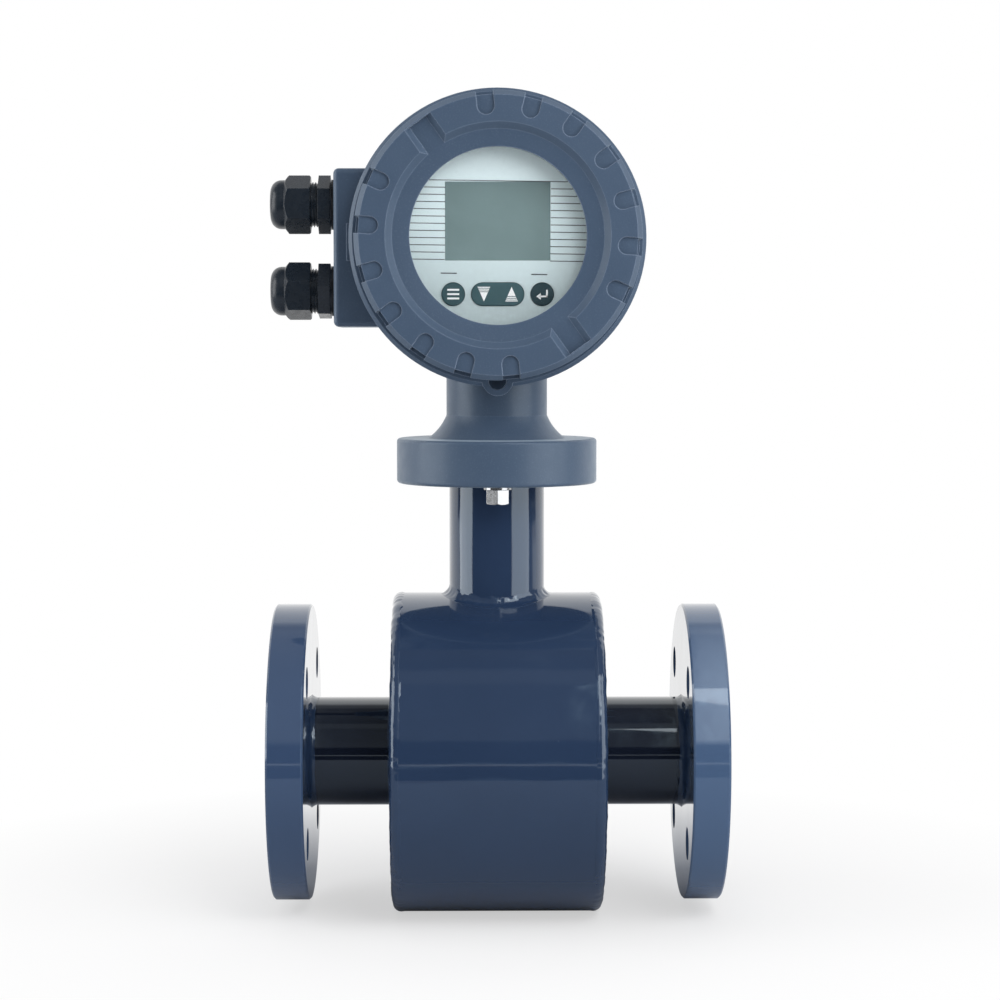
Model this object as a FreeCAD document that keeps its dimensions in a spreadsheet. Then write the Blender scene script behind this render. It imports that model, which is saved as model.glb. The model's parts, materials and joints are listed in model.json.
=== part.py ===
import FreeCAD, Part
import math
import os
import re
import Sketcher

# Electromagnetic flow meter, millimetres.
# The origin is the centre of the measuring tube's bore.
# +X runs along the flow, +Z up to the transmitter head, and the display looks along -Y.

# ---------------------------------------------------------------- driving sizes
SIZES = [
    # pipe run
    ("bore_radius", 25.0, "clear bore of the liner"),
    ("pipe_radius", 30.15, "outside of the measuring tube"),
    ("pipe_wall", 2.85, "wall of the measuring tube"),
    ("laying_length", 250.0, "between the two sealing faces"),
    ("lip_thickness", 1.5, "liner lip on a flange face"),
    ("lip_radius", 49.0, "outside of a liner lip"),
    ("flange_radius", 82.5, "outside of a line flange"),
    ("flange_thickness", 20.0, "line flange"),
    ("flange_chamfer", 1.0, "line flange's rim edges"),
    ("bolt_circle_radius", 62.5, "line flange bolt circle"),
    ("bolt_hole_radius", 9.0, "line flange bolt hole"),
    ("bolt_hole_count", 4, "bolt holes in a line flange"),
    ("flange_weld_leg", 5.0, "fillet weld between flange and tube"),
    # fits
    ("seat_gap", 0.05, "between pieces that seat in each other"),
    ("past", 1.0, "a cutting tool's run past the face it opens"),
    ("run_gap", 0.3, "between pieces that move"),
    # electrodes
    ("electrode_boss_radius", 10.0, "boss welded on the tube"),
    ("electrode_boss_reach", 38.0, "boss end from the bore axis"),
    ("electrode_hole_radius", 6.0, "hole through the boss"),
    ("electrode_tip_radius", 3.0, "tip that meets the liquid"),
    ("electrode_shoulder_radius", 5.6, "shoulder behind the liner"),
    ("electrode_shoulder_thickness", 2.0, "shoulder behind the liner"),
    ("electrode_stem_radius", 2.0, "threaded stem"),
    ("bush_flange_radius", 9.0, "insulating bush's flange"),
    ("bush_flange_thickness", 1.5, "insulating bush's flange"),
    ("spring_radius", 6.5, "disc spring"),
    ("spring_thickness", 0.8, "disc spring's sheet"),
    ("spring_rise", 0.9, "disc spring's cone"),
    ("electrode_nut_flats", 7.0, "electrode nut across flats"),
    ("electrode_nut_height", 3.2, "electrode nut"),
    # field coils
    ("shoe_thickness", 2.5, "pole shoe's sheet"),
    ("shoe_length", 64.0, "pole shoe along the tube"),
    ("shoe_angle", 100.0, "pole shoe round the tube"),
    ("core_radius", 12.0, "coil core"),
    ("bobbin_start", 37.0, "bobbin's inner end from the bore axis"),
    ("bobbin_length", 23.0, "bobbin along its core"),
    ("bobbin_wall", 1.5, "bobbin's barrel and flanges"),
    ("bobbin_radius", 28.0, "bobbin's flanges"),
    ("winding_radius", 26.5, "outside of the winding"),
    ("yoke_radius", 73.5, "outside of the return yoke"),
    ("yoke_thickness", 3.5, "return yoke's sheet"),
    ("yoke_width", 36.0, "return yoke along the tube"),
    # sensor housing
    ("shell_radius", 89.0, "outside of the sensor shell"),
    ("shell_wall", 4.0, "sensor shell"),
    ("drum_length", 115.4, "over the rounded end welds"),
    ("end_weld", 4.5, "end weld's section"),
    ("end_weld_round", 5.1, "end weld's rounding"),
    ("end_weld_land", 0.4, "flat left inside an end weld's crown"),
    ("end_plate_thickness", 5.0, "end plate"),
    ("end_plate_inset", 2.0, "end plate's face behind the weld's top"),
    ("plate_weld_leg", 4.0, "weld between end plate and tube"),
    # neck
    ("neck_radius", 26.5, "outside of the neck tube"),
    ("neck_wall", 3.0, "neck tube"),
    ("neck_tube_setback", 2.0, "neck tube ends below its flange's top"),
    ("neck_weld_radius", 5.0, "fillet weld round the neck's foot"),
    ("neck_flange_radius", 49.7, "flange on the neck tube"),
    ("neck_flange_thickness", 8.0, "flange on the neck tube"),
    ("gasket_thickness", 1.5, "gasket over the neck flange"),
    ("neck_bolt_circle_radius", 41.5, "bolts under the collar"),
    ("neck_bolt_radius", 4.0, "bolt's shank"),
    ("neck_bolt_reach", 20.0, "bolt's shank above its washer"),
    ("neck_bolt_flats", 12.0, "bolt head across flats"),
    ("neck_bolt_head", 8.0, "bolt head's height"),
    ("neck_bolt_chamfer", 1.0, "bolt head's end"),
    ("neck_bolt_turn", 30.0, "bolt head's turn, one corner outwards"),
    ("washer_radius", 7.6, "washer"),
    ("washer_thickness", 1.6, "washer"),
    # head housing, from the head's own centre unless named from the bore axis
    ("head_height", 285.0, "head's axis above the bore axis"),
    ("collar_bottom", 150.9, "collar's underside above the bore axis"),
    ("collar_thickness", 24.9, "collar"),
    ("collar_radius", 55.6, "collar"),
    ("collar_round", 1.8, "collar's edges"),
    ("upper_neck_radius", 28.0, "cast neck"),
    ("upper_neck_bore", 20.0, "bore of the cast neck"),
    ("flare_radius", 38.2, "cast neck's foot on the collar"),
    ("flare_height", 12.8, "cast neck's flare"),
    ("flare_round", 28.2, "hollow of the cast neck's flare"),
    ("barrel_radius", 71.0, "round body"),
    ("barrel_wall", 7.0, "round body"),
    ("ring_radius", 80.2, "ring at each end of the round body"),
    ("ring_thickness", 12.0, "ring at each end of the round body"),
    ("ring_round", 2.0, "ring's edges"),
    ("head_half_depth", 44.0, "ring's face from the neck axis"),
    ("mouth_radius", 66.8, "threaded mouth"),
    ("mouth_depth", 16.0, "threaded mouth"),
    ("partition_front", 13.0, "partition's front face before the neck axis"),
    ("partition_thickness", 4.0, "wall between the two chambers"),
    ("feed_radius", 5.0, "feed-through in the partition"),
    ("passage_radius", 8.0, "cable way from the neck to the rear chamber"),
    ("passage_clearance", 2.0, "between the cable way and the partition"),
    ("box_reach", 89.3, "side box's outer face from the neck axis"),
    ("box_top", 38.6, "side box above the head's axis"),
    ("box_bottom", 47.7, "side box below the head's axis"),
    ("box_depth", 50.0, "side box from front to back"),
    ("box_wall", 4.0, "side box"),
    ("box_window_inset", 12.0, "opening between the side box and the rear chamber, inside the box"),
    ("box_window_setback", 2.0, "that opening behind the partition"),
    ("box_round", 3.0, "side box's edges"),
    ("box_cavity_end", 72.0, "side box's cavity ends short of the round body"),
    ("box_pad_height", 20.3, "raised pad on the side box's front"),
    ("box_pad_reach", 82.0, "raised pad's outer edge from the neck axis"),
    ("box_pad_root", 64.0, "raised pad's inner edge, inside the round body"),
    ("box_pad_drop", 1.6, "raised pad's middle below the head's axis"),
    ("box_pad_rise", 1.2, "raised pad on the side box's front"),
    ("lug_radius", 8.4, "cover lock lug"),
    ("lug_centre", 76.8, "cover lock lug below the head's axis"),
    ("lug_hole_radius", 4.8, "cover lock hole"),
    ("upper_entry", 20.0, "upper cable entry above the head's axis"),
    ("entry_spacing", 47.7, "between the two cable entries"),
    # covers
    ("cover_radius", 76.3, "cover's side"),
    ("cover_face_radius", 73.6, "cover's face"),
    ("cover_chamfer", 3.5, "cover's rim, along its axis"),
    ("cover_joint", 0.6, "gap between cover and ring"),
    ("front_cover_height", 27.4, "front cover beyond the gap"),
    ("rear_cover_height", 21.4, "rear cover beyond the gap"),
    ("cover_floor_depth", 3.4, "dished floor below the cover's face"),
    ("cover_step_radius", 59.6, "raised rim's inner edge"),
    ("cover_step_draft", 3.4, "slope of the raised rim's inner wall"),
    ("cover_floor_fall", 1.2, "floor's fall towards the window"),
    ("cover_plate", 5.0, "rear cover's plate"),
    ("spigot_length", 14.0, "threaded spigot behind the joint"),
    ("spigot_wall", 6.5, "threaded spigot"),
    ("notch_width", 9.2, "grip notch"),
    ("notch_reach", 13.0, "grip notch from the cover's side"),
    ("notch_depth", 1.4, "grip notch"),
    ("notch_side_depth", 2.4, "grip notch down the cover's side"),
    ("notch_rim", 3.0, "full rim left behind a grip notch"),
    ("notch_count", 7, "grip notches between two channels"),
    ("notch_span", 120.0, "from the first notch to the last"),
    ("channel_width", 16.5, "wrench channel at the cover's face"),
    ("channel_floor_width", 10.5, "wrench channel at its floor"),
    ("channel_reach", 73.0, "wrench channel's end, inside the face's edge"),
    ("cover_clocking", 125.5, "where the channels stop when the cover is tight"),
    ("oring_section", 1.4, "O-ring's section radius"),
    # window
    ("window_radius", 46.9, "clear window"),
    ("window_lip", 3.0, "cover's lip over the glass"),
    ("glass_radius", 52.5, "window glass"),
    ("glass_thickness", 6.0, "window glass"),
    ("seal_thickness", 1.0, "seal between glass and lip"),
    ("retainer_thickness", 3.0, "retainer behind the glass"),
    ("retainer_width", 5.0, "retainer's section"),
    ("retainer_land", 1.0, "cover beyond the retainer"),
    ("seal_margin", 0.2, "seal outside the clear window"),
    # display
    ("plate_setback", 3.5, "face plate behind the retainer"),
    ("plate_radius", 57.0, "face plate"),
    ("plate_thickness", 1.5, "face plate"),
    ("lcd_width", 56.4, "display window"),
    ("lcd_height", 42.0, "display window"),
    ("lcd_raise", 8.5, "display window's centre above the head's axis"),
    ("lcd_frame", 3.0, "display module beyond its window"),
    ("lcd_thickness", 5.0, "display module"),
    ("lcd_setback", 0.4, "display window behind the plate's face"),
    ("key_radius", 6.1, "round keys"),
    ("key_drop", 30.4, "keys below the head's axis"),
    ("key_spacing", 23.8, "round keys from the rocker's centre"),
    ("rocker_length", 28.1, "rocker key"),
    ("key_stand", 0.8, "keys stand proud of the plate"),
    ("key_flange", 1.2, "key's flange behind the plate"),
    ("key_flange_width", 1.0, "key's flange beyond its cap"),
    ("key_stem_radius", 1.8, "key's stem"),
    ("display_board_setback", 8.5, "display board behind the face plate"),
    ("board_thickness", 1.6, "circuit boards"),
    ("display_board_radius", 55.0, "display board"),
    ("switch_width", 6.0, "key switch"),
    ("switch_height", 3.5, "key switch"),
    ("switch_plunger_radius", 1.6, "key switch's plunger"),
    ("switch_plunger_stand", 0.8, "plunger beyond its switch"),
    ("switch_pitch", 16.0, "between the rocker's two switches"),
    # electronics
    ("main_board_radius", 60.0, "main board"),
    ("main_board_stand", 9.0, "main board above the partition"),
    ("post_circle_radius", 50.0, "board posts"),
    ("post_angle", 35.0, "board post above the head's middle"),
    ("post_flats", 5.5, "board post across flats"),
    ("transformer_width", 32.0, "transformer"),
    ("transformer_height", 14.0, "transformer"),
    ("transformer_length", 25.6, "transformer from bottom to top"),
    ("transformer_raise", 8.0, "transformer above the head's axis"),
    ("capacitor_radius", 5.0, "capacitor"),
    ("capacitor_height", 12.0, "capacitor"),
    ("capacitor_drop", 12.0, "capacitors below the head's axis"),
    ("capacitor_near", 13.0, "inner capacitor from the head's middle"),
    ("capacitor_far", 26.0, "outer capacitor from the head's middle"),
    ("chip_width", 14.0, "chip"),
    ("chip_height", 2.0, "chip"),
    ("chip_drop", 20.0, "chips' lower edge below the head's axis"),
    ("chip_near", 6.0, "inner chip from the head's middle"),
    ("chip_far", 26.0, "outer chip from the head's middle"),
    # terminal chamber
    ("terminal_board_width", 84.0, "terminal board"),
    ("terminal_board_height", 60.0, "terminal board"),
    ("terminal_board_stand", 9.0, "terminal board behind the partition"),
    ("stand_side_inset", 6.0, "terminal post from the board's side"),
    ("stand_end_inset", 5.0, "terminal post from the board's top or bottom"),
    ("block_length", 60.0, "terminal block"),
    ("block_height", 12.0, "terminal block"),
    ("block_depth", 11.0, "terminal block"),
    ("block_spacing", 30.0, "between the two terminal blocks"),
    ("terminal_count", 6, "screws in a terminal block"),
    ("terminal_pitch", 9.5, "between terminal screws"),
    ("terminal_screw_radius", 2.5, "terminal screw's head"),
    ("terminal_well_depth", 4.0, "well for a terminal screw"),
    ("terminal_screw_drop", 1.0, "screw's head below the block's face"),
    ("terminal_slot_depth", 1.0, "screw's slot"),
    ("terminal_slot_width", 0.8, "screw's slot"),
    # cable glands
    ("entry_hole_radius", 10.0, "hole in the side box's wall"),
    ("gland_flats", 28.0, "gland hexagons across flats"),
    ("gland_gasket_thickness", 1.5, "gasket under a gland"),
    ("gland_round_radius", 13.8, "gasket and gland's round foot"),
    ("gland_foot_thickness", 1.6, "gland's round foot"),
    ("gland_hex_length", 6.1, "gland body's hexagon"),
    ("gland_thread_radius", 11.65, "gland body's outer thread"),
    ("gland_gap", 4.3, "thread that shows below the nut"),
    ("gland_nut_length", 14.2, "nut's hexagon"),
    ("gland_dome_length", 8.0, "nut's dome"),
    ("gland_dome_radius", 13.5, "nut's dome"),
    ("gland_dome_round", 6.0, "nut's dome end"),
    ("gland_mouth_radius", 7.0, "nut's mouth"),
    ("gland_nut_wall", 1.0, "nut's step behind its dome"),
    ("gland_body_setback", 1.0, "gland body's end behind that step"),
    ("gland_nut_bevel", 0.8, "nut's inner corners"),
    ("gland_nut_slope", 2.2, "nut's corners towards its dome"),
    ("gland_bore_radius", 7.0, "gland body's bore"),
    ("gland_seal_seat_radius", 8.6, "gland body's bore round the seal"),
    ("gland_seal_length", 12.6, "rubber seal"),
    ("cable_radius", 5.0, "hole in the rubber seal"),
    ("locknut_thickness", 4.0, "locknut inside the box"),
    ("locknut_flats", 24.0, "locknut across flats"),
    ("gland_shank_spare", 1.0, "gland's shank beyond its locknut"),
    ("gland_hex_wall", 1.0, "gland's hexagon let into its round"),
    ("lower_nut_turn", -11.0, "lower nut's turn against the upper one"),
    ("lower_body_turn", -21.0, "lower gland body's turn against the upper one"),
]
ALIASES = {alias for alias, value, meaning in SIZES}

# ---------------------------------------------------------------- the document
doc = FreeCAD.newDocument("flow_meter")
sheet = doc.addObject("Spreadsheet::Sheet", "Sizes")
for row, (alias, value, meaning) in enumerate(SIZES, start=1):
    sheet.set(f"A{row}", alias)
    sheet.set(f"B{row}", str(value))
    sheet.set(f"C{row}", meaning)
    sheet.setAlias(f"B{row}", alias)
doc.recompute()

VECTOR = FreeCAD.Vector
ALONG_X = FreeCAD.Rotation(VECTOR(0, 1, 0), 90)
ALONG_MINUS_X = FreeCAD.Rotation(VECTOR(0, 1, 0), -90)
ALONG_Y = FreeCAD.Rotation(VECTOR(1, 0, 0), -90)
UPRIGHT = FreeCAD.Rotation()
NODES = {}


def cells(expression):
    """The expression with every alias written as a cell of the sheet."""
    return re.sub(
        r"[A-Za-z_]\w*",
        lambda word: f"Sizes.{word.group()}" if word.group() in ALIASES else word.group(),
        str(expression),
    )


def number(expression):
    """The expression's present value."""
    value = sheet.evalExpression(str(expression))
    return float(getattr(value, "Value", value))


def bind(thing, **properties):
    """Bind each property of the object to its expression."""
    for name, expression in properties.items():
        thing.setExpression(name, cells(expression))
    return thing


def place(thing, x="0", y="0", z="0", rotation=UPRIGHT):
    """Put the object at a bound position."""
    thing.Placement = FreeCAD.Placement(VECTOR(), rotation)
    for axis, expression in zip("xyz", (x, y, z)):
        thing.setExpression(f"Placement.Base.{axis}", cells(expression))
    return thing


def node(name, thing):
    """The object is one sub-part, and its label names its file."""
    thing.Label = name
    NODES[name] = thing
    return thing


# ---------------------------------------------------------------- primitives and booleans
def solid(kind, rotation=UPRIGHT, x="0", y="0", z="0", **properties):
    """A bound Part primitive."""
    thing = bind(doc.addObject(f"Part::{kind}", kind), **properties)
    return place(thing, x, y, z, rotation)


def rod(radius, start, end, rotation, x="0", y="0", z="0"):
    """A cylinder from start to end along the rotated Z axis, through the point x, y, z."""
    axis = rotation.multVec(VECTOR(0, 0, 1))
    base = [f"({at}) + ({start}) * {round(step)}" for at, step in zip((x, y, z), axis)]
    return solid("Cylinder", rotation, *base, Radius=radius, Height=f"({end}) - ({start})")


def twisted(rotation, turn):
    """The rotation after a turn about the solid's own Z axis, in degrees."""
    return rotation.multiply(FreeCAD.Rotation(VECTOR(0, 0, 1), number(turn)))


def hexagon_bar(flats, start, end, rotation, x="0", y="0", z="0", turn="0"):
    """A hexagonal bar from start to end along the rotated Z axis, through the point x, y, z."""
    axis = rotation.multVec(VECTOR(0, 0, 1))
    base = [f"({at}) + ({start}) * {round(step)}" for at, step in zip((x, y, z), axis)]
    return solid("Prism", twisted(rotation, turn), *base, Circumradius=f"({flats}) / sqrt(3)",
                 Height=f"({end}) - ({start})")


def block(x_from, x_to, y_from, y_to, z_from, z_to):
    """A box between bound corners."""
    return solid("Box", x=x_from, y=y_from, z=z_from, Length=f"({x_to}) - ({x_from})",
                 Width=f"({y_to}) - ({y_from})", Height=f"({z_to}) - ({z_from})")


def cut(base, *tools):
    """The base without the tools."""
    thing = doc.addObject("Part::Cut", "Cut")
    thing.Base = base
    thing.Tool = tools[0] if len(tools) == 1 else fuse(*tools)
    return thing


def fuse(*pieces):
    """The pieces as one."""
    thing = doc.addObject("Part::MultiFuse", "Fusion")
    thing.Shapes = list(pieces)
    return thing


def common(base, tool):
    """What the two share."""
    thing = doc.addObject("Part::Common", "Common")
    thing.Base = base
    thing.Tool = tool
    return thing


def group(*pieces):
    """Like pieces that stay separate solids."""
    thing = doc.addObject("Part::Compound", "Group")
    thing.Links = list(pieces)
    return thing


# ---------------------------------------------------------------- sketches and features
def new_body(x="0", y="0", z="0", rotation=UPRIGHT):
    body = doc.addObject("PartDesign::Body", "Body")
    return place(body, x, y, z, rotation)


def origin_feature(body, role):
    return next(item for item in body.Origin.OriginFeatures if item.Role == role)


def new_sketch(body, plane, offset="0", turn=0.0):
    """An empty sketch on one of the body's own planes, moved along its normal."""
    sketch = body.newObject("Sketcher::SketchObject", "Sketch")
    sketch.AttachmentSupport = [(origin_feature(body, f"{plane}_Plane"), "")]
    sketch.MapMode = "FlatFace"
    sketch.AttachmentOffset = FreeCAD.Placement(VECTOR(), FreeCAD.Rotation(VECTOR(0, 0, 1), turn))
    sketch.setExpression("AttachmentOffset.Base.z", cells(offset))
    return sketch


def hold(sketch, geometry, vertex, x, y):
    """Hold a vertex at bound distances from the sketch's origin."""
    for kind, expression in (("DistanceX", x), ("DistanceY", y)):
        constraint = Sketcher.Constraint(kind, -1, 1, geometry, vertex, number(expression))
        index = sketch.addConstraint(constraint)
        sketch.setExpression(f"Constraints[{index}]", cells(expression))


def arc_middle(start, end, radius):
    """The middle of the short arc from start to end; a positive radius turns left."""
    chord = end - start
    half = chord.Length / 2
    left = VECTOR(-chord.y, chord.x, 0).normalize() * math.copysign(1, radius)
    sagitta = abs(radius) - math.sqrt(max(radius * radius - half * half, 0))
    return (start + end) * 0.5 - left * sagitta


def outline(body, plane, corners, offset="0", turn=0.0):
    """A closed sketch through bound corners.

    A corner with a third value is followed by an arc of that radius, positive where it
    turns left.
    """
    sketch = new_sketch(body, plane, offset, turn)
    points = [VECTOR(number(corner[0]), number(corner[1]), 0) for corner in corners]
    ends = []
    for index, corner in enumerate(corners):
        start = points[index]
        end = points[(index + 1) % len(points)]
        if len(corner) == 3:
            middle = arc_middle(start, end, number(corner[2]))
            sketch.addGeometry(Part.Arc(start, middle, end))
            first = 1 if sketch.getPoint(index, 1).distanceToPoint(start) < 1e-6 else 2
        else:
            sketch.addGeometry(Part.LineSegment(start, end))
            first = 1
        ends.append((first, 3 - first))
    for index in range(len(corners)):
        following = (index + 1) % len(corners)
        sketch.addConstraint(
            Sketcher.Constraint("Coincident", index, ends[index][1], following, ends[following][0])
        )
    for index, corner in enumerate(corners):
        hold(sketch, index, ends[index][0], corner[0], corner[1])
        if len(corner) == 3:
            radius = f"abs({corner[2]})"
            constraint = sketch.addConstraint(Sketcher.Constraint("Radius", index, number(radius)))
            sketch.setExpression(f"Constraints[{constraint}]", cells(radius))
    return sketch


def circle(body, plane, x, y, radius, offset="0"):
    """A sketch of one bound circle."""
    sketch = new_sketch(body, plane, offset)
    centre = VECTOR(number(x), number(y), 0)
    sketch.addGeometry(Part.Circle(centre, VECTOR(0, 0, 1), number(radius)))
    hold(sketch, 0, 3, x, y)
    index = sketch.addConstraint(Sketcher.Constraint("Radius", 0, number(radius)))
    sketch.setExpression(f"Constraints[{index}]", cells(radius))
    return sketch


def revolve(body, sketch, axis, cutting=False):
    """Turn the sketch right round its own H or V axis."""
    feature = body.newObject("PartDesign::Groove" if cutting else "PartDesign::Revolution", "Turned")
    feature.Profile = sketch
    feature.ReferenceAxis = (sketch, [f"{axis}_Axis"])
    feature.Angle = 360
    return feature


def extrude(body, sketch, length, cutting=False, reverse=False):
    """Pad or pocket the sketch by a bound length."""
    feature = body.newObject("PartDesign::Pocket" if cutting else "PartDesign::Pad", "Extruded")
    feature.Profile = sketch
    feature.Reversed = reverse
    return bind(feature, Length=length)


def dress(body, kind, test, size):
    """Fillet or chamfer those edges of the body that pass the test."""
    doc.recompute()
    base = body.Tip
    edges = [f"Edge{index}" for index, edge in enumerate(base.Shape.Edges, start=1) if test(edge)]
    feature = body.newObject(f"PartDesign::{kind}", kind)
    feature.Base = (base, edges)
    return bind(feature, **{"Radius" if kind == "Fillet" else "Size": size})


def round_edge(edge, radius, along=None, at=None):
    """Whether the edge is a whole circle of that radius, and its centre is at that place."""
    if edge.Degenerated or not edge.isClosed() or not isinstance(edge.Curve, Part.Circle):
        return False
    if abs(edge.Curve.Radius - number(radius)) > 1e-4:
        return False
    return at is None or abs(getattr(edge.Curve.Center, along) - number(at)) < 1e-4


def turned(axis, corners, x="0", y="0", z="0", rotation=UPRIGHT):
    """A body turned round its own X, Y or Z axis.

    The corners are (along, radius) for X and Y, and (radius, height) for Z.
    """
    body = new_body(x, y, z, rotation)
    plane, line = {"X": ("XZ", "H"), "Y": ("YZ", "H"), "Z": ("XZ", "V")}[axis]
    revolve(body, outline(body, plane, corners), line)
    return body


def ring(axis, start, end, inner, outer, x="0", y="0", z="0"):
    """A plain turned ring."""
    corners = [(start, inner), (start, outer), (end, outer), (end, inner)]
    if axis == "Z":
        corners = [(radius, height) for height, radius in corners]
    return turned(axis, corners, x, y, z)


# ---------------------------------------------------------------- places worked out from the sizes
FLANGE_FACE = "(laying_length / 2 - lip_thickness)"
FLANGE_BACK = f"({FLANGE_FACE} - flange_thickness)"
TUBE_INSIDE = "(pipe_radius - pipe_wall)"
SHOULDER_END = f"({TUBE_INSIDE} + electrode_shoulder_thickness)"
BUSH_END = "(electrode_boss_reach + seat_gap + bush_flange_thickness)"
SPRING_END = f"({BUSH_END} + seat_gap + spring_thickness + spring_rise)"
SHOE_INSIDE = "(pipe_radius + run_gap)"
SHOE_OUTSIDE = f"({SHOE_INSIDE} + shoe_thickness)"
YOKE_INSIDE = "(yoke_radius - yoke_thickness)"
SHELL_INSIDE = "(shell_radius - shell_wall)"
SHELL_END = "(drum_length / 2 - end_weld)"
PLATE_FACE = "(drum_length / 2 - end_plate_inset)"
NECK_FLANGE_BOTTOM = "(collar_bottom + seat_gap)"
NECK_FLANGE_TOP = f"({NECK_FLANGE_BOTTOM} + neck_flange_thickness)"
RECESS_TOP = f"({NECK_FLANGE_TOP} + gasket_thickness + 2 * seat_gap)"
COLLAR_TOP = "(collar_bottom + collar_thickness)"
CHAMBER_RADIUS = "(barrel_radius - barrel_wall)"
PARTITION_BACK = "(partition_thickness - partition_front)"
COVER_START = "(head_half_depth + cover_joint)"
FRONT_FACE = f"({COVER_START} + front_cover_height)"
REAR_FACE = f"({COVER_START} + rear_cover_height)"
SPIGOT_RADIUS = "(mouth_radius - run_gap)"
SPIGOT_INSIDE = f"({SPIGOT_RADIUS} - spigot_wall)"
SPIGOT_END = f"({COVER_START} - spigot_length)"
ORING_CENTRE = f"({COVER_START} - 3 * oring_section)"
ORING_RADIUS = "(mouth_radius - run_gap - oring_section)"
LIP_FACE = f"({FRONT_FACE} - cover_floor_depth - cover_floor_fall)"
GLASS_SEAT = f"({LIP_FACE} - window_lip)"
GLASS_FRONT = f"({GLASS_SEAT} - seal_thickness - 2 * seat_gap)"
GLASS_BACK = f"({GLASS_FRONT} - glass_thickness)"
RETAINER_BACK = f"({GLASS_BACK} - seat_gap - retainer_thickness)"
PLATE_FRONT = f"({RETAINER_BACK} - plate_setback)"
PLATE_BACK = f"({PLATE_FRONT} - plate_thickness)"
DISPLAY_BOARD_FRONT = f"({PLATE_BACK} - display_board_setback)"
DISPLAY_BOARD_BACK = f"({DISPLAY_BOARD_FRONT} - board_thickness)"
MAIN_BOARD_BACK = "(partition_front + main_board_stand)"
MAIN_BOARD_FRONT = f"({MAIN_BOARD_BACK} + board_thickness)"
TERMINAL_BOARD_FRONT = f"({PARTITION_BACK} + terminal_board_stand)"
TERMINAL_BOARD_BACK = f"({TERMINAL_BOARD_FRONT} + board_thickness)"
BLOCK_BACK = f"({TERMINAL_BOARD_BACK} + seat_gap + block_depth)"
BOX_CAVITY_FACE = "(box_reach - box_wall)"
FOOT_START = "(box_reach + gland_gasket_thickness + seat_gap)"
FOOT_END = f"({FOOT_START} + gland_foot_thickness)"
GLAND_HEX_END = f"({FOOT_END} + gland_hex_length)"
NUT_START = f"({GLAND_HEX_END} + gland_gap)"
NUT_HEX_END = f"({NUT_START} + gland_nut_length)"
NUT_END = f"({NUT_HEX_END} + gland_dome_length)"
NUT_STOP = f"({NUT_HEX_END} + gland_nut_wall)"
GLAND_BODY_END = f"({NUT_STOP} - gland_body_setback)"
SEAL_END = f"({NUT_STOP} - run_gap)"


# ---------------------------------------------------------------- pipe run
def measuring_tube():
    """A steel tube with a boss for each electrode."""
    tube = rod("pipe_radius", f"-{FLANGE_FACE}", FLANGE_FACE, ALONG_X)
    bosses = rod("electrode_boss_radius", "-electrode_boss_reach", "electrode_boss_reach", ALONG_Y)
    bore = rod(TUBE_INSIDE, f"-{FLANGE_FACE} - past", f"{FLANGE_FACE} + past", ALONG_X)
    holes = rod("electrode_hole_radius", "-electrode_boss_reach - past", "electrode_boss_reach + past",
                ALONG_Y)
    return node("measuring_tube", cut(fuse(tube, bosses), bore, holes))


def tube_liner():
    """A moulded liner whose lips turn over the flange faces."""
    end = "laying_length / 2"
    outside = f"{TUBE_INSIDE} - seat_gap"
    blank = turned("X", [
        (f"-{end}", "bore_radius"), (f"-{end}", "lip_radius"),
        (f"-{FLANGE_FACE} - seat_gap", "lip_radius"), (f"-{FLANGE_FACE} - seat_gap", outside),
        (f"{FLANGE_FACE} + seat_gap", outside), (f"{FLANGE_FACE} + seat_gap", "lip_radius"),
        (end, "lip_radius"), (end, "bore_radius"),
    ])
    holes = rod("electrode_tip_radius + seat_gap", "-pipe_radius", "pipe_radius", ALONG_Y)
    return node("tube_liner", cut(blank, holes))


def line_flange(name, side):
    """A slip-on flange, drilled on its bolt circle to straddle the centre lines."""
    face = f"{side} * {FLANGE_FACE}"
    back = f"{side} * {FLANGE_BACK}"
    body = turned("X", [
        (face, "pipe_radius + seat_gap"), (face, "flange_radius"),
        (back, "flange_radius"), (back, "pipe_radius + seat_gap"),
    ])
    dress(body, "Chamfer", lambda edge: round_edge(edge, "flange_radius"), "flange_chamfer")
    on_diagonal = "bolt_circle_radius * cos(180 deg / bolt_hole_count)"
    off_diagonal = "bolt_circle_radius * sin(180 deg / bolt_hole_count)"
    sketch = circle(body, "YZ", on_diagonal, off_diagonal, "bolt_hole_radius", back)
    hole = extrude(body, sketch, "flange_thickness", cutting=True, reverse=side > 0)
    holes = body.newObject("PartDesign::PolarPattern", "BoltHoles")
    holes.Originals = [hole]
    holes.Axis = (origin_feature(body, "X_Axis"), [""])
    holes.Angle = 360
    bind(holes, Occurrences="bolt_hole_count")
    body.Tip = holes
    return node(name, body)


def fillet_ring(side, foot, leg):
    """A turned weld bead in the corner between a plate at foot and the tube."""
    inside = "pipe_radius + seat_gap"
    return turned("X", [
        (f"{side} * ({foot})", inside),
        (f"{side} * ({foot})", f"{inside} + {leg}", f"{side} * -2 * {leg}"),
        (f"{side} * ({foot} - {leg})", inside),
    ])


def flange_welds():
    """A fillet weld behind each line flange."""
    beads = [fillet_ring(side, f"{FLANGE_BACK}", "flange_weld_leg") for side in (-1, 1)]
    return node("flange_welds", group(*beads))


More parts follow.
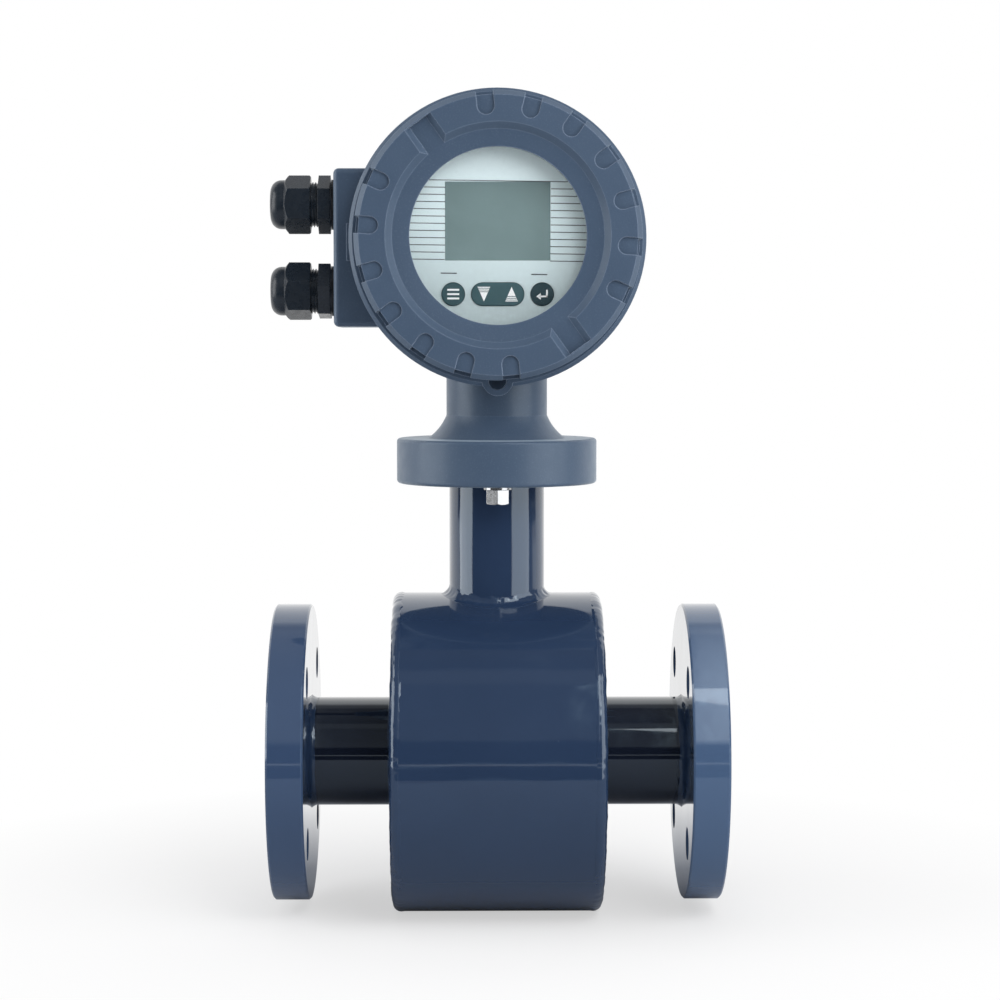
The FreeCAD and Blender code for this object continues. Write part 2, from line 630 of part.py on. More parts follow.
# ---------------------------------------------------------------- electrodes
def electrode(side):
    """A flush tip, a shoulder behind the liner and a threaded stem."""
    stem_end = f"{SPRING_END} + electrode_nut_height + 3"
    return turned("Y", [
        (f"{side} * (bore_radius + seat_gap)", "0"),
        (f"{side} * (bore_radius + seat_gap)", "electrode_tip_radius"),
        (f"{side} * {TUBE_INSIDE}", "electrode_tip_radius"),
        (f"{side} * {TUBE_INSIDE}", "electrode_shoulder_radius"),
        (f"{side} * {SHOULDER_END}", "electrode_shoulder_radius"),
        (f"{side} * {SHOULDER_END}", "electrode_stem_radius"),
        (f"{side} * ({stem_end})", "electrode_stem_radius"),
        (f"{side} * ({stem_end})", "0"),
    ])


def electrode_bush(side):
    """An insulating sleeve in the boss, with a flange on its end."""
    inside = "electrode_stem_radius + seat_gap"
    return turned("Y", [
        (f"{side} * ({SHOULDER_END} + seat_gap)", inside),
        (f"{side} * ({SHOULDER_END} + seat_gap)", "electrode_hole_radius - seat_gap"),
        (f"{side} * (electrode_boss_reach + seat_gap)", "electrode_hole_radius - seat_gap"),
        (f"{side} * (electrode_boss_reach + seat_gap)", "bush_flange_radius"),
        (f"{side} * {BUSH_END}", "bush_flange_radius"),
        (f"{side} * {BUSH_END}", inside),
    ])


def disc_spring(side):
    """A conical disc spring under the nut."""
    start = f"{BUSH_END} + seat_gap"
    inside = "electrode_stem_radius + seat_gap"
    return turned("Y", [
        (f"{side} * ({start})", "spring_radius"),
        (f"{side} * ({start} + spring_thickness)", "spring_radius"),
        (f"{side} * {SPRING_END}", inside),
        (f"{side} * ({start} + spring_rise)", inside),
    ])


def electrode_nut(side):
    """A hexagon nut on the stem."""
    start, end = sorted(
        (f"{side} * ({SPRING_END} + seat_gap)",
         f"{side} * ({SPRING_END} + seat_gap + electrode_nut_height)"), key=number)
    bar = hexagon_bar("electrode_nut_flats", start, end, ALONG_Y)
    return cut(bar, rod("electrode_stem_radius + seat_gap", f"{start} - past", f"{end} + past", ALONG_Y))


# ---------------------------------------------------------------- field coils
def pole_shoe(name, side):
    """A sheet bent round part of the tube."""
    start = number("180 - shoe_angle / 2") if side > 0 else number("-shoe_angle / 2")
    turn = ALONG_X.multiply(FreeCAD.Rotation(VECTOR(0, 0, 1), start))
    sheets = [
        solid("Cylinder", turn, x="-shoe_length / 2", Radius=radius, Height="shoe_length",
              Angle="shoe_angle")
        for radius in (SHOE_OUTSIDE, SHOE_INSIDE)
    ]
    return node(name, cut(*sheets))


def coil_core(name, side):
    """A round core from the pole shoe to the return yoke."""
    start, end = ("0", "yoke_radius") if side > 0 else ("-yoke_radius", "0")
    core = rod("core_radius", start, end, UPRIGHT)
    seat = rod(f"{SHOE_OUTSIDE} + seat_gap", "-yoke_width", "yoke_width", ALONG_X)
    inside_yoke = rod(f"{YOKE_INSIDE} - seat_gap", "-yoke_width", "yoke_width", ALONG_X)
    return node(name, cut(common(core, inside_yoke), seat))


def coil_bobbin(name, side):
    """A moulded bobbin with two flanges."""
    inside = "core_radius + seat_gap"
    barrel = f"{inside} + bobbin_wall"
    near = "bobbin_start"
    far = "bobbin_start + bobbin_length"
    heights = (near, near, f"{near} + bobbin_wall", f"{near} + bobbin_wall",
               f"{far} - bobbin_wall", f"{far} - bobbin_wall", far, far)
    radii = (inside, "bobbin_radius", "bobbin_radius", barrel, barrel, "bobbin_radius",
             "bobbin_radius", inside)
    corners = [(radius, f"{side} * ({height})") for radius, height in zip(radii, heights)]
    return node(name, turned("Z", corners))


def coil_winding(name, side):
    """The wire, wound between the bobbin's flanges."""
    near = f"{side} * (bobbin_start + bobbin_wall + seat_gap)"
    far = f"{side} * (bobbin_start + bobbin_length - bobbin_wall - seat_gap)"
    inside = "core_radius + bobbin_wall + 2 * seat_gap"
    return node(name, ring("Z", near, far, inside, "winding_radius"))


def return_yoke():
    """A band that closes the magnetic circuit round both coils."""
    band = ring("X", "-yoke_width / 2", "yoke_width / 2", YOKE_INSIDE, "yoke_radius")
    return node("return_yoke", band)


# ---------------------------------------------------------------- sensor housing
def sensor_shell():
    """A rolled shell with the neck's hole in its top."""
    tube = ring("X", f"-{SHELL_END}", SHELL_END, SHELL_INSIDE, "shell_radius")
    hole = rod("neck_radius - neck_wall", "0", "shell_radius + past", UPRIGHT)
    return node("sensor_shell", cut(tube, hole))


def end_plate(side):
    """A plate that closes the shell round the measuring tube."""
    outer = f"{side} * {PLATE_FACE}"
    inner = f"{side} * ({PLATE_FACE} - end_plate_thickness)"
    return ring("X", inner, outer, "pipe_radius + seat_gap", f"{SHELL_INSIDE} - seat_gap")


def shell_weld(side):
    """The rounded bead that closes the shell's end."""
    inside = f"{SHELL_INSIDE} + seat_gap"
    edge = f"{side} * ({SHELL_END} + seat_gap)"
    crown = f"{side} * (drum_length / 2)"
    return turned("X", [
        (edge, inside), (edge, "shell_radius", f"{-side} * end_weld_round"),
        (crown, f"{inside} + end_weld_land"), (crown, inside),
    ])


def shell_welds():
    """The beads at both ends of the shell."""
    return node("shell_welds", group(*[shell_weld(side) for side in (-1, 1)]))


def plate_weld(side):
    """The bead between an end plate's outer face and the tube."""
    inside = "pipe_radius + seat_gap"
    face = f"{PLATE_FACE} + seat_gap"
    return turned("X", [
        (f"{side} * ({face})", inside),
        (f"{side} * ({face})", f"{inside} + plate_weld_leg", f"{side} * 2 * plate_weld_leg"),
        (f"{side} * ({face} + plate_weld_leg)", inside),
    ])


# ---------------------------------------------------------------- neck
def neck_tube():
    """A tube that stands on the shell and ends in the neck flange."""
    top = f"{NECK_FLANGE_TOP} - neck_tube_setback"
    tube = ring("Z", "shell_radius / 2", top, "neck_radius - neck_wall", "neck_radius")
    saddle = rod("shell_radius + seat_gap", "-drum_length / 2", "drum_length / 2", ALONG_X)
    return node("neck_tube", cut(tube, saddle))


def neck_weld():
    """The fillet weld round the neck's foot."""
    joint = new_body()
    half = SHELL_END
    drum = outline(joint, "XZ", [
        (f"-{half}", "0"), (f"-{half}", "shell_radius"), (half, "shell_radius"), (half, "0"),
    ])
    revolve(joint, drum, "H")
    height = "shell_radius + 4 * neck_weld_radius"
    extrude(joint, circle(joint, "XY", "0", "0", "neck_radius"), height)
    dress(joint, "Fillet", on_saddle, "neck_weld_radius")
    plain = fuse(rod("shell_radius", f"-{half}", half, ALONG_X),
                 rod("neck_radius", "0", height, UPRIGHT))
    return node("neck_weld", cut(joint, plain))


def on_saddle(edge):
    """Whether the whole edge lies on both the shell and the neck tube."""
    points = edge.discretize(5)
    return all(
        abs(math.hypot(point.x, point.y) - number("neck_radius")) < 0.01
        and abs(math.hypot(point.y, point.z) - number("shell_radius")) < 0.01
        for point in points
    )


def neck_bolt_places():
    """Angles of the two bolts, in front of the neck and behind it."""
    return [-90, 90]


def round_the_neck(angle):
    """A bolt's place on its circle, as two expressions."""
    return (f"neck_bolt_circle_radius * cos({angle} deg)", f"neck_bolt_circle_radius * sin({angle} deg)")


def neck_flange():
    """A drilled disc on the neck tube, let into the collar."""
    disc = ring("Z", NECK_FLANGE_BOTTOM, NECK_FLANGE_TOP, "neck_radius + seat_gap", "neck_flange_radius")
    holes = [
        rod("neck_bolt_radius + run_gap", f"{NECK_FLANGE_BOTTOM} - past",
            f"{NECK_FLANGE_TOP} + past", UPRIGHT, *round_the_neck(angle))
        for angle in neck_bolt_places()
    ]
    return node("neck_flange", cut(disc, *holes))


def neck_gasket():
    """A flat gasket between the neck flange and the collar."""
    bottom = f"{NECK_FLANGE_TOP} + seat_gap"
    top = f"{RECESS_TOP} - seat_gap"
    disc = ring("Z", bottom, top, "upper_neck_bore", "neck_flange_radius")
    holes = [
        rod("neck_bolt_radius + run_gap", f"{bottom} - past", f"{top} + past", UPRIGHT,
            *round_the_neck(angle))
        for angle in neck_bolt_places()
    ]
    return node("neck_gasket", cut(disc, *holes))


def collar_bolt(angle):
    """A hexagon bolt that enters the collar from below."""
    x, y = round_the_neck(angle)
    seat = f"({NECK_FLANGE_BOTTOM} - washer_thickness - 2 * seat_gap)"
    head = hexagon_bar("neck_bolt_flats", f"{seat} - neck_bolt_head", seat, UPRIGHT, x, y,
                       turn="neck_bolt_turn")
    tip_radius = "neck_bolt_flats / 2"
    end_form = turned("Z", [
        ("0", f"{seat} - neck_bolt_head"), (tip_radius, f"{seat} - neck_bolt_head"),
        (f"{tip_radius} + 1.5 * neck_bolt_chamfer", f"{seat} - neck_bolt_head + neck_bolt_chamfer"),
        (f"{tip_radius} + 1.5 * neck_bolt_chamfer", f"{seat} + past"), ("0", f"{seat} + past"),
    ], x, y)
    shank = rod("neck_bolt_radius", f"{seat} - past", f"{seat} + neck_bolt_reach", UPRIGHT, x, y)
    return fuse(common(head, end_form), shank)


def bolt_washer(angle):
    """A washer between the bolt's head and the neck flange."""
    x, y = round_the_neck(angle)
    top = f"{NECK_FLANGE_BOTTOM} - seat_gap"
    return ring("Z", f"{top} - washer_thickness", top, "neck_bolt_radius + run_gap", "washer_radius", x, y)


# ---------------------------------------------------------------- head housing
def head_housing():
    """One casting: round body with a ring at each end, partition, side box, lug, neck and collar."""
    body = new_body(z="head_height")
    ring_back = "head_half_depth - ring_thickness"
    half_section = [
        ("head_half_depth", "0"), ("head_half_depth", "ring_radius - ring_round"),
        ("head_half_depth - ring_round", "ring_radius"), (f"{ring_back} + ring_round", "ring_radius"),
        (ring_back, "ring_radius - ring_round"), (f"{ring_back} - ring_round", "barrel_radius"),
    ]
    front_half = [(f"-({along})", radius) for along, radius in half_section]
    barrel = outline(body, "YZ", front_half + half_section[::-1])
    revolve(body, barrel, "H")
    lug = outline(body, "XZ", [
        ("-lug_radius", "-barrel_radius"), ("-lug_radius", "-lug_centre", "lug_radius + 0.001"),
        ("lug_radius", "-lug_centre"), ("lug_radius", "-barrel_radius"),
    ], "head_half_depth")
    extrude(body, lug, "ring_thickness", reverse=True)
    lock = circle(body, "XZ", "0", "-lug_centre", "lug_hole_radius", "head_half_depth + past")
    extrude(body, lock, "ring_thickness + 2 * past", cutting=True)

    box = outline(body, "YZ", [
        ("-box_depth / 2", "-box_bottom"), ("box_depth / 2", "-box_bottom"),
        ("box_depth / 2", "box_top"), ("-box_depth / 2", "box_top"),
    ])
    extrude(body, box, "box_reach", reverse=True)
    dress(body, "Fillet", on_side_box, "box_round")

    pad_bottom = "-box_pad_drop - box_pad_height / 2"
    pad_top = "-box_pad_drop + box_pad_height / 2"
    pad = outline(body, "XZ", [
        ("-box_pad_reach", pad_bottom), ("-box_pad_root", pad_bottom),
        ("-box_pad_root", pad_top), ("-box_pad_reach", pad_top),
    ], "box_depth / 2 - past")
    extrude(body, pad, "box_pad_rise + past")

    neck_top = f"-({CHAMBER_RADIUS})"
    collar_top = f"{COLLAR_TOP} - head_height"
    collar_base = "collar_bottom - head_height"
    neck = outline(body, "XZ", [
        ("0", neck_top), ("upper_neck_radius", neck_top),
        ("upper_neck_radius", f"{collar_top} + flare_height", "flare_round"),
        ("flare_radius", collar_top), ("collar_radius", collar_top),
        ("collar_radius", collar_base), ("0", collar_base),
    ])
    revolve(body, neck, "V")
    dress(body, "Fillet", lambda edge: round_edge(edge, "collar_radius"), "collar_round")

    front = outline(body, "YZ", [
        ("-head_half_depth - past", "0"), ("-head_half_depth - past", "mouth_radius"),
        ("-head_half_depth + mouth_depth", "mouth_radius"),
        ("-head_half_depth + mouth_depth", CHAMBER_RADIUS),
        ("-partition_front", CHAMBER_RADIUS), ("-partition_front", "0"),
    ])
    revolve(body, front, "H", cutting=True)
    rear = outline(body, "YZ", [
        (PARTITION_BACK, "0"), (PARTITION_BACK, CHAMBER_RADIUS),
        ("head_half_depth - mouth_depth", CHAMBER_RADIUS),
        ("head_half_depth - mouth_depth", "mouth_radius"),
        ("head_half_depth + past", "mouth_radius"), ("head_half_depth + past", "0"),
    ])
    revolve(body, rear, "H", cutting=True)

    cavity = outline(body, "YZ", [
        ("-box_depth / 2 + box_wall", "-box_bottom + box_wall"),
        ("box_depth / 2 - box_wall", "-box_bottom + box_wall"),
        ("box_depth / 2 - box_wall", "box_top - box_wall"),
        ("-box_depth / 2 + box_wall", "box_top - box_wall"),
    ], "-box_cavity_end")
    extrude(body, cavity, f"{BOX_CAVITY_FACE} - box_cavity_end", cutting=True)
    window_front = f"{PARTITION_BACK} + box_window_setback"
    window = outline(body, "YZ", [
        (window_front, "-box_bottom + box_window_inset"),
        ("box_depth / 2 - box_wall", "-box_bottom + box_window_inset"),
        ("box_depth / 2 - box_wall", "box_top - box_window_inset"),
        (window_front, "box_top - box_window_inset"),
    ], f"-{CHAMBER_RADIUS} / 2")
    extrude(body, window, f"box_cavity_end - {CHAMBER_RADIUS} / 2 + past", cutting=True)
    for entry in ("upper_entry", "upper_entry - entry_spacing"):
        hole = circle(body, "YZ", "0", entry, "entry_hole_radius", f"-{BOX_CAVITY_FACE} + past")
        extrude(body, hole, "box_wall + 2 * past", cutting=True)

    bore = outline(body, "XZ", [
        ("0", f"{collar_base} - past"), ("neck_flange_radius + run_gap", f"{collar_base} - past"),
        ("neck_flange_radius + run_gap", f"{RECESS_TOP} - head_height"),
        ("upper_neck_bore", f"{RECESS_TOP} - head_height"),
        ("upper_neck_bore", "-barrel_radius"), ("0", "-barrel_radius"),
    ])
    revolve(body, bore, "V", cutting=True)
    passage = circle(body, "XY", "0", f"{PARTITION_BACK} + passage_radius + passage_clearance", "passage_radius",
                     f"-{CHAMBER_RADIUS} / 2")
    extrude(body, passage, f"barrel_radius - {CHAMBER_RADIUS} / 2 + 2 * past", cutting=True)
    feed = circle(body, "XZ", "0", "-barrel_radius / 2", "feed_radius", "partition_front + past")
    extrude(body, feed, "partition_thickness + 2 * past", cutting=True)
    for angle in neck_bolt_places():
        x, y = round_the_neck(angle)
        hole = circle(body, "XY", x, y, "neck_bolt_radius + seat_gap",
                      f"{RECESS_TOP} - head_height - past")
        extrude(body, hole, "neck_bolt_reach - neck_flange_thickness - gasket_thickness + past",
                cutting=True, reverse=True)
    return node("head_housing", body)


def on_side_box(edge):
    """Whether the edge is one of the side box's outer edges."""
    reach = number("box_reach")
    middle = edge.valueAt((edge.FirstParameter + edge.LastParameter) / 2)
    if abs(middle.x + reach) < 1e-4:
        return True
    corner_y = abs(abs(middle.y) - number("box_depth / 2")) < 1e-4
    corner_z = min(abs(middle.z - number("box_top")), abs(middle.z + number("box_bottom"))) < 1e-4
    return corner_y and corner_z and middle.x < -number("barrel_radius / 2")


# ---------------------------------------------------------------- covers
def cover_profile(side, face, inner_corners):
    """A cover's half section: rim, spigot and O-ring groove, closed by its own inner corners."""
    groove_front = f"{ORING_CENTRE} + oring_section + run_gap"
    groove_back = f"{ORING_CENTRE} - oring_section - run_gap"
    groove_floor = f"{ORING_RADIUS} - oring_section - run_gap"
    rim = [
        (SPIGOT_END, SPIGOT_INSIDE), (SPIGOT_END, SPIGOT_RADIUS),
        (groove_back, SPIGOT_RADIUS), (groove_back, groove_floor),
        (groove_front, groove_floor), (groove_front, SPIGOT_RADIUS),
        (COVER_START, SPIGOT_RADIUS), (COVER_START, "cover_radius"),
        (f"{face} - cover_chamfer", "cover_radius"), (face, "cover_face_radius"),
        (face, "cover_step_radius"),
        (f"{face} - cover_floor_depth", "cover_step_radius - cover_step_draft"),
    ]
    return [(f"{side} * ({along})", radius) for along, radius in rim + inner_corners]


def cover(name, side, face, inner_corners):
    """A screw cover with grip notches and two wrench channels in its rim."""
    turn = FreeCAD.Rotation(VECTOR(0, -1, 0), number("cover_clocking"))
    body = turned("Y", cover_profile(side, face, inner_corners), z="head_height", rotation=turn)

    floor = f"{side} * ({face} - cover_floor_depth)"
    top = f"{side} * ({face} + past)"
    draft = "(channel_width - channel_floor_width) / 2 / cover_floor_depth"
    top_half = f"channel_width / 2 + past * {draft}"
    channel = outline(body, "YZ", [
        (floor, "-channel_floor_width / 2"), (top, f"-({top_half})"),
        (top, top_half), (floor, "channel_floor_width / 2"),
    ], "channel_reach")
    extrude(body, channel, "2 * channel_reach", cutting=True)

    first_notch = (180 - number("notch_span")) / 2
    outside = "cover_radius + past"
    notch = outline(body, "XZ", [
        (outside, "-notch_width / 2"), (outside, "notch_width / 2"),
        ("cover_radius - notch_reach + notch_width / 2", "notch_width / 2", "notch_width / 2 + 0.001"),
        ("cover_radius - notch_reach + notch_width / 2", "-notch_width / 2"),
    ], f"{-side} * ({face})", first_notch)
    pocket = extrude(body, notch, "notch_depth", cutting=True, reverse=side > 0)
    groove_floor = "cover_radius - notch_side_depth"
    groove = outline(body, "XZ", [
        (outside, "-notch_width / 2"), (outside, "notch_width / 2"),
        (groove_floor, "notch_width / 2"), (groove_floor, "-notch_width / 2"),
    ], f"{-side} * ({face})", first_notch)
    side_cut = extrude(body, groove, f"{face} - {COVER_START} - notch_rim", cutting=True, reverse=side > 0)

    pattern = body.newObject("PartDesign::MultiTransform", "Notches")
    row = doc.addObject("PartDesign::PolarPattern", "NotchRow")
    row.Axis = (origin_feature(body, "Y_Axis"), [""])
    row.Reversed = True
    bind(row, Angle="notch_span", Occurrences="notch_count")
    pair = doc.addObject("PartDesign::PolarPattern", "BothSides")
    pair.Axis = (origin_feature(body, "Y_Axis"), [""])
    pair.Angle = 360
    pair.Occurrences = 2
    pattern.Originals = [pocket, side_cut]
    pattern.Transformations = [row, pair]
    body.addObjects([row, pair])
    body.Tip = pattern
    return node(name, body)


def front_cover():
    """The front cover: its floor falls to the window, and the glass seats behind the lip."""
    return cover("front_cover", -1, FRONT_FACE, [
        (LIP_FACE, "window_radius"), (GLASS_SEAT, "window_radius"),
        (GLASS_SEAT, "glass_radius + run_gap"),
        (f"{RETAINER_BACK} - retainer_land", "glass_radius + run_gap"),
        (f"{RETAINER_BACK} - retainer_land", SPIGOT_INSIDE),
    ])


def rear_cover():
    """The rear cover: the same rim round a blind plate."""
    floor = f"{REAR_FACE} - cover_floor_depth"
    return cover("rear_cover", 1, REAR_FACE, [
        (floor, "0"), (f"{floor} - cover_plate", "0"), (f"{floor} - cover_plate", SPIGOT_INSIDE),
    ])


def cover_oring(name, side):
    """The O-ring in a cover's groove."""
    torus = solid("Torus", ALONG_Y, y=f"{side} * {ORING_CENTRE}", z="head_height",
                  Radius1=ORING_RADIUS, Radius2="oring_section")
    return node(name, torus)


def head_ring(name, start, end, inner, outer):
    """A ring on the head's axis, its places counted towards the front."""
    return node(name, ring("Y", f"-({start})", f"-({end})", inner, outer, z="head_height"))


def window():
    """Glass, its seal and its retainer."""
    glass = turned("Y", [
        (f"-{GLASS_FRONT}", "0"), (f"-{GLASS_FRONT}", "glass_radius"),
        (f"-{GLASS_BACK}", "glass_radius"), (f"-{GLASS_BACK}", "0"),
    ], z="head_height")
    node("window_glass", glass)
    head_ring("window_seal", f"{GLASS_FRONT} + seat_gap", f"{GLASS_SEAT} - seat_gap",
              "window_radius + seal_margin", "glass_radius")
    head_ring("window_retainer", RETAINER_BACK, f"{GLASS_BACK} - seat_gap",
              "glass_radius - retainer_width", "glass_radius + run_gap - seat_gap")


# ---------------------------------------------------------------- display
def head_block(half_width, back, front, low, high, x="0"):
    """A box in the head, centred on x, from its back to its front."""
    return block(f"{x} - ({half_width})", f"{x} + {half_width}", f"-({front})", f"-({back})",
                 f"head_height + {low}", f"head_height + {high}")


def head_rod(radius, back, front, x, z):
    """A rod along the head's axis, from its back to its front."""
    return rod(radius, f"-({front})", f"-({back})", ALONG_Y, x=x, z=f"head_height + {z}")


def pill(radius, length, back, front, x, z):
    """A bar with round ends, lying across the head."""
    straight = f"(({length}) / 2 - ({radius}))"
    middle = head_block(straight, back, front, f"{z} - ({radius})", f"{z} + ({radius})", x)
    ends = [head_rod(radius, back, front, f"{x} + {side} * ({straight})", z) for side in (-1, 1)]
    return fuse(middle, *ends)


def face_plate():
    """The printed plate, cut out for the display and the keys."""
    disc = head_rod("plate_radius", PLATE_BACK, PLATE_FRONT, "0", "0")
    back = f"{PLATE_BACK} - past"
    front = f"{PLATE_FRONT} + past"
    display = head_block("lcd_width / 2", back, front, "lcd_raise - lcd_height / 2",
                         "lcd_raise + lcd_height / 2")
    hole = "key_radius + run_gap"
    keys = [head_rod(hole, back, front, f"{side} * key_spacing", "-key_drop") for side in (-1, 1)]
    rocker = pill(hole, "rocker_length + 2 * run_gap", back, front, "0", "-key_drop")
    return node("face_plate", cut(disc, display, rocker, *keys))


def lcd_module():
    """The display: its frame lies behind the plate and its window fills the cut-out."""
    frame_front = f"{PLATE_BACK} - seat_gap"
    frame = head_block("lcd_width / 2 + lcd_frame", f"{frame_front} - lcd_thickness", frame_front,
                       "lcd_raise - lcd_height / 2 - lcd_frame", "lcd_raise + lcd_height / 2 + lcd_frame")
    window_front = f"{PLATE_FRONT} - lcd_setback"
    glass = head_block("lcd_width / 2 - seat_gap", f"{frame_front} - past", window_front,
                       "lcd_raise - lcd_height / 2 + seat_gap", "lcd_raise + lcd_height / 2 - seat_gap")
    return node("lcd_module", fuse(frame, glass))


SWITCH_FRONT = f"({DISPLAY_BOARD_FRONT} + seat_gap + switch_height)"
PLUNGER_FRONT = f"({SWITCH_FRONT} + switch_plunger_stand)"
KEY_FLANGE_FRONT = f"({PLATE_BACK} - run_gap)"
KEY_FLANGE_BACK = f"({KEY_FLANGE_FRONT} - key_flange)"
KEY_FRONT = f"({PLATE_FRONT} + key_stand)"
STEM_BACK = f"({PLUNGER_FRONT} + run_gap)"


def round_key(name, x):
    """A key cap with a flange behind the plate and a stem to its switch."""
    cap = head_rod("key_radius", KEY_FLANGE_BACK, KEY_FRONT, x, "-key_drop")
    flange = head_rod("key_radius + key_flange_width", KEY_FLANGE_BACK, KEY_FLANGE_FRONT, x, "-key_drop")
    stem = head_rod("key_stem_radius", STEM_BACK, KEY_FLANGE_FRONT, x, "-key_drop")
    return node(name, fuse(cap, flange, stem))


def rocker_key():
    """One cap over two switches, with a stem at each end and a pivot rib between them."""
    cap = pill("key_radius", "rocker_length", KEY_FLANGE_BACK, KEY_FRONT, "0", "-key_drop")
    flange = pill("key_radius + key_flange_width", "rocker_length + 2 * key_flange_width",
                  KEY_FLANGE_BACK, KEY_FLANGE_FRONT, "0", "-key_drop")
    stems = [head_rod("key_stem_radius", STEM_BACK, KEY_FLANGE_FRONT, f"{side} * switch_pitch / 2",
                      "-key_drop") for side in (-1, 1)]
    return node("rocker_key", fuse(cap, flange, *stems))


def key_switch(x):
    """A switch on the display board, under a key's stem."""
    case = head_block("switch_width / 2", f"{DISPLAY_BOARD_FRONT} + seat_gap", SWITCH_FRONT,
                      "-key_drop - switch_width / 2", "-key_drop + switch_width / 2", x)
    plunger = head_rod("switch_plunger_radius", f"{SWITCH_FRONT} - past", PLUNGER_FRONT, x, "-key_drop")
    return fuse(case, plunger)


def key_switches():
    """One switch for each round key and two for the rocker."""
    places = ("-key_spacing", "-switch_pitch / 2", "switch_pitch / 2", "key_spacing")
    return node("key_switches", group(*[key_switch(x) for x in places]))


# ---------------------------------------------------------------- electronics
def post_places():
    """Four places on the post circle, as pairs of expressions."""
    across = "post_circle_radius * cos(post_angle * 1 deg)"
    up = "post_circle_radius * sin(post_angle * 1 deg)"
    return [(f"{u} * {across}", f"{v} * {up}") for u in (-1, 1) for v in (-1, 1)]


def posts(back, front):
    """A hexagonal post between two boards at each place."""
    return [
        hexagon_bar("post_flats", f"-({front} - seat_gap)", f"-({back} + seat_gap)", ALONG_Y, x=x,
                    z=f"head_height + {z}")
        for x, z in post_places()
    ]


def electronics():
    """Display board, main board and what stands on it."""
    display = head_rod("display_board_radius", DISPLAY_BOARD_BACK, DISPLAY_BOARD_FRONT, "0", "0")
    node("display_board", display)
    main = head_rod("main_board_radius", MAIN_BOARD_BACK, MAIN_BOARD_FRONT, "0", "0")
    node("main_board", main)
    storeys = [("partition_front", MAIN_BOARD_BACK), (MAIN_BOARD_FRONT, DISPLAY_BOARD_BACK),
               (DISPLAY_BOARD_FRONT, PLATE_BACK)]
    node("board_posts", group(*[post for back, front in storeys for post in posts(back, front)]))
    foot = f"{MAIN_BOARD_FRONT} + seat_gap"
    transformer = head_block("transformer_width / 2", foot, f"{foot} + transformer_height",
                             "transformer_raise", "transformer_raise + transformer_length")
    node("transformer", transformer)
    capacitors = [head_rod("capacitor_radius", foot, f"{foot} + capacitor_height", x, "-capacitor_drop")
                  for x in ("-capacitor_far", "-capacitor_near")]
    node("capacitors", group(*capacitors))
    chips = [head_block("chip_width / 2", foot, f"{foot} + chip_height", "-chip_drop",
                        "-chip_drop + chip_width", x) for x in ("chip_near", "chip_far")]
    node("chips", group(*chips))


# ---------------------------------------------------------------- terminal chamber
def rear_block(half_width, front, back, low, high, x="0"):
    """A box in the rear chamber, from its front to its back."""
    return block(f"{x} - ({half_width})", f"{x} + {half_width}", front, back,
                 f"head_height + {low}", f"head_height + {high}")


def terminal_screw(x, z):
    """A clamp screw's slotted head in a terminal block."""
    top = f"({BLOCK_BACK} - terminal_screw_drop)"
    head = rod("terminal_screw_radius", f"{BLOCK_BACK} - terminal_well_depth", top, ALONG_Y, x=x,
               z=f"head_height + {z}")
    slot = rear_block("terminal_screw_radius + past", f"{top} - terminal_slot_depth", f"{top} + past",
                      f"{z} - terminal_slot_width / 2", f"{z} + terminal_slot_width / 2", x)
    return cut(head, slot)


def terminal_chamber():
    """Board, posts, blocks and clamp screws."""
    half_height = "terminal_board_height / 2"
    board = rear_block("terminal_board_width / 2", TERMINAL_BOARD_FRONT, TERMINAL_BOARD_BACK,
                       f"(-{half_height})", half_height)
    node("terminal_board", board)
    corners = [(f"{u} * (terminal_board_width / 2 - stand_side_inset)",
                f"{v} * ({half_height} - stand_end_inset)") for u in (-1, 1) for v in (-1, 1)]
    stands = [hexagon_bar("post_flats", f"{PARTITION_BACK} + seat_gap", f"{TERMINAL_BOARD_FRONT} - seat_gap",
                          ALONG_Y, x=x, z=f"head_height + {z}") for x, z in corners]
    node("terminal_posts", group(*stands))
    count = round(number("terminal_count"))
    blocks = []
    screws = []
    for v in (-1, 1):
        z = f"{v} * block_spacing / 2"
        whole = rear_block("block_length / 2", f"{TERMINAL_BOARD_BACK} + seat_gap", BLOCK_BACK,
                           f"{z} - block_height / 2", f"{z} + block_height / 2")
        steps = [f"{index - (count - 1) / 2} * terminal_pitch" for index in range(count)]
        wells = [rod("terminal_screw_radius + seat_gap", f"{BLOCK_BACK} - terminal_well_depth - seat_gap",
                     f"{BLOCK_BACK} + past", ALONG_Y, x=x, z=f"head_height + {z}") for x in steps]
        blocks.append(cut(whole, *wells))
        screws += [terminal_screw(x, z) for x in steps]
    node("terminal_blocks", group(*blocks))
    node("terminal_screws", group(*screws))


# ---------------------------------------------------------------- cable glands
def gland_corners(corners):
    """A half section counted outwards along -X."""
    return [(f"-({corner[0]})",) + tuple(corner[1:]) for corner in corners]


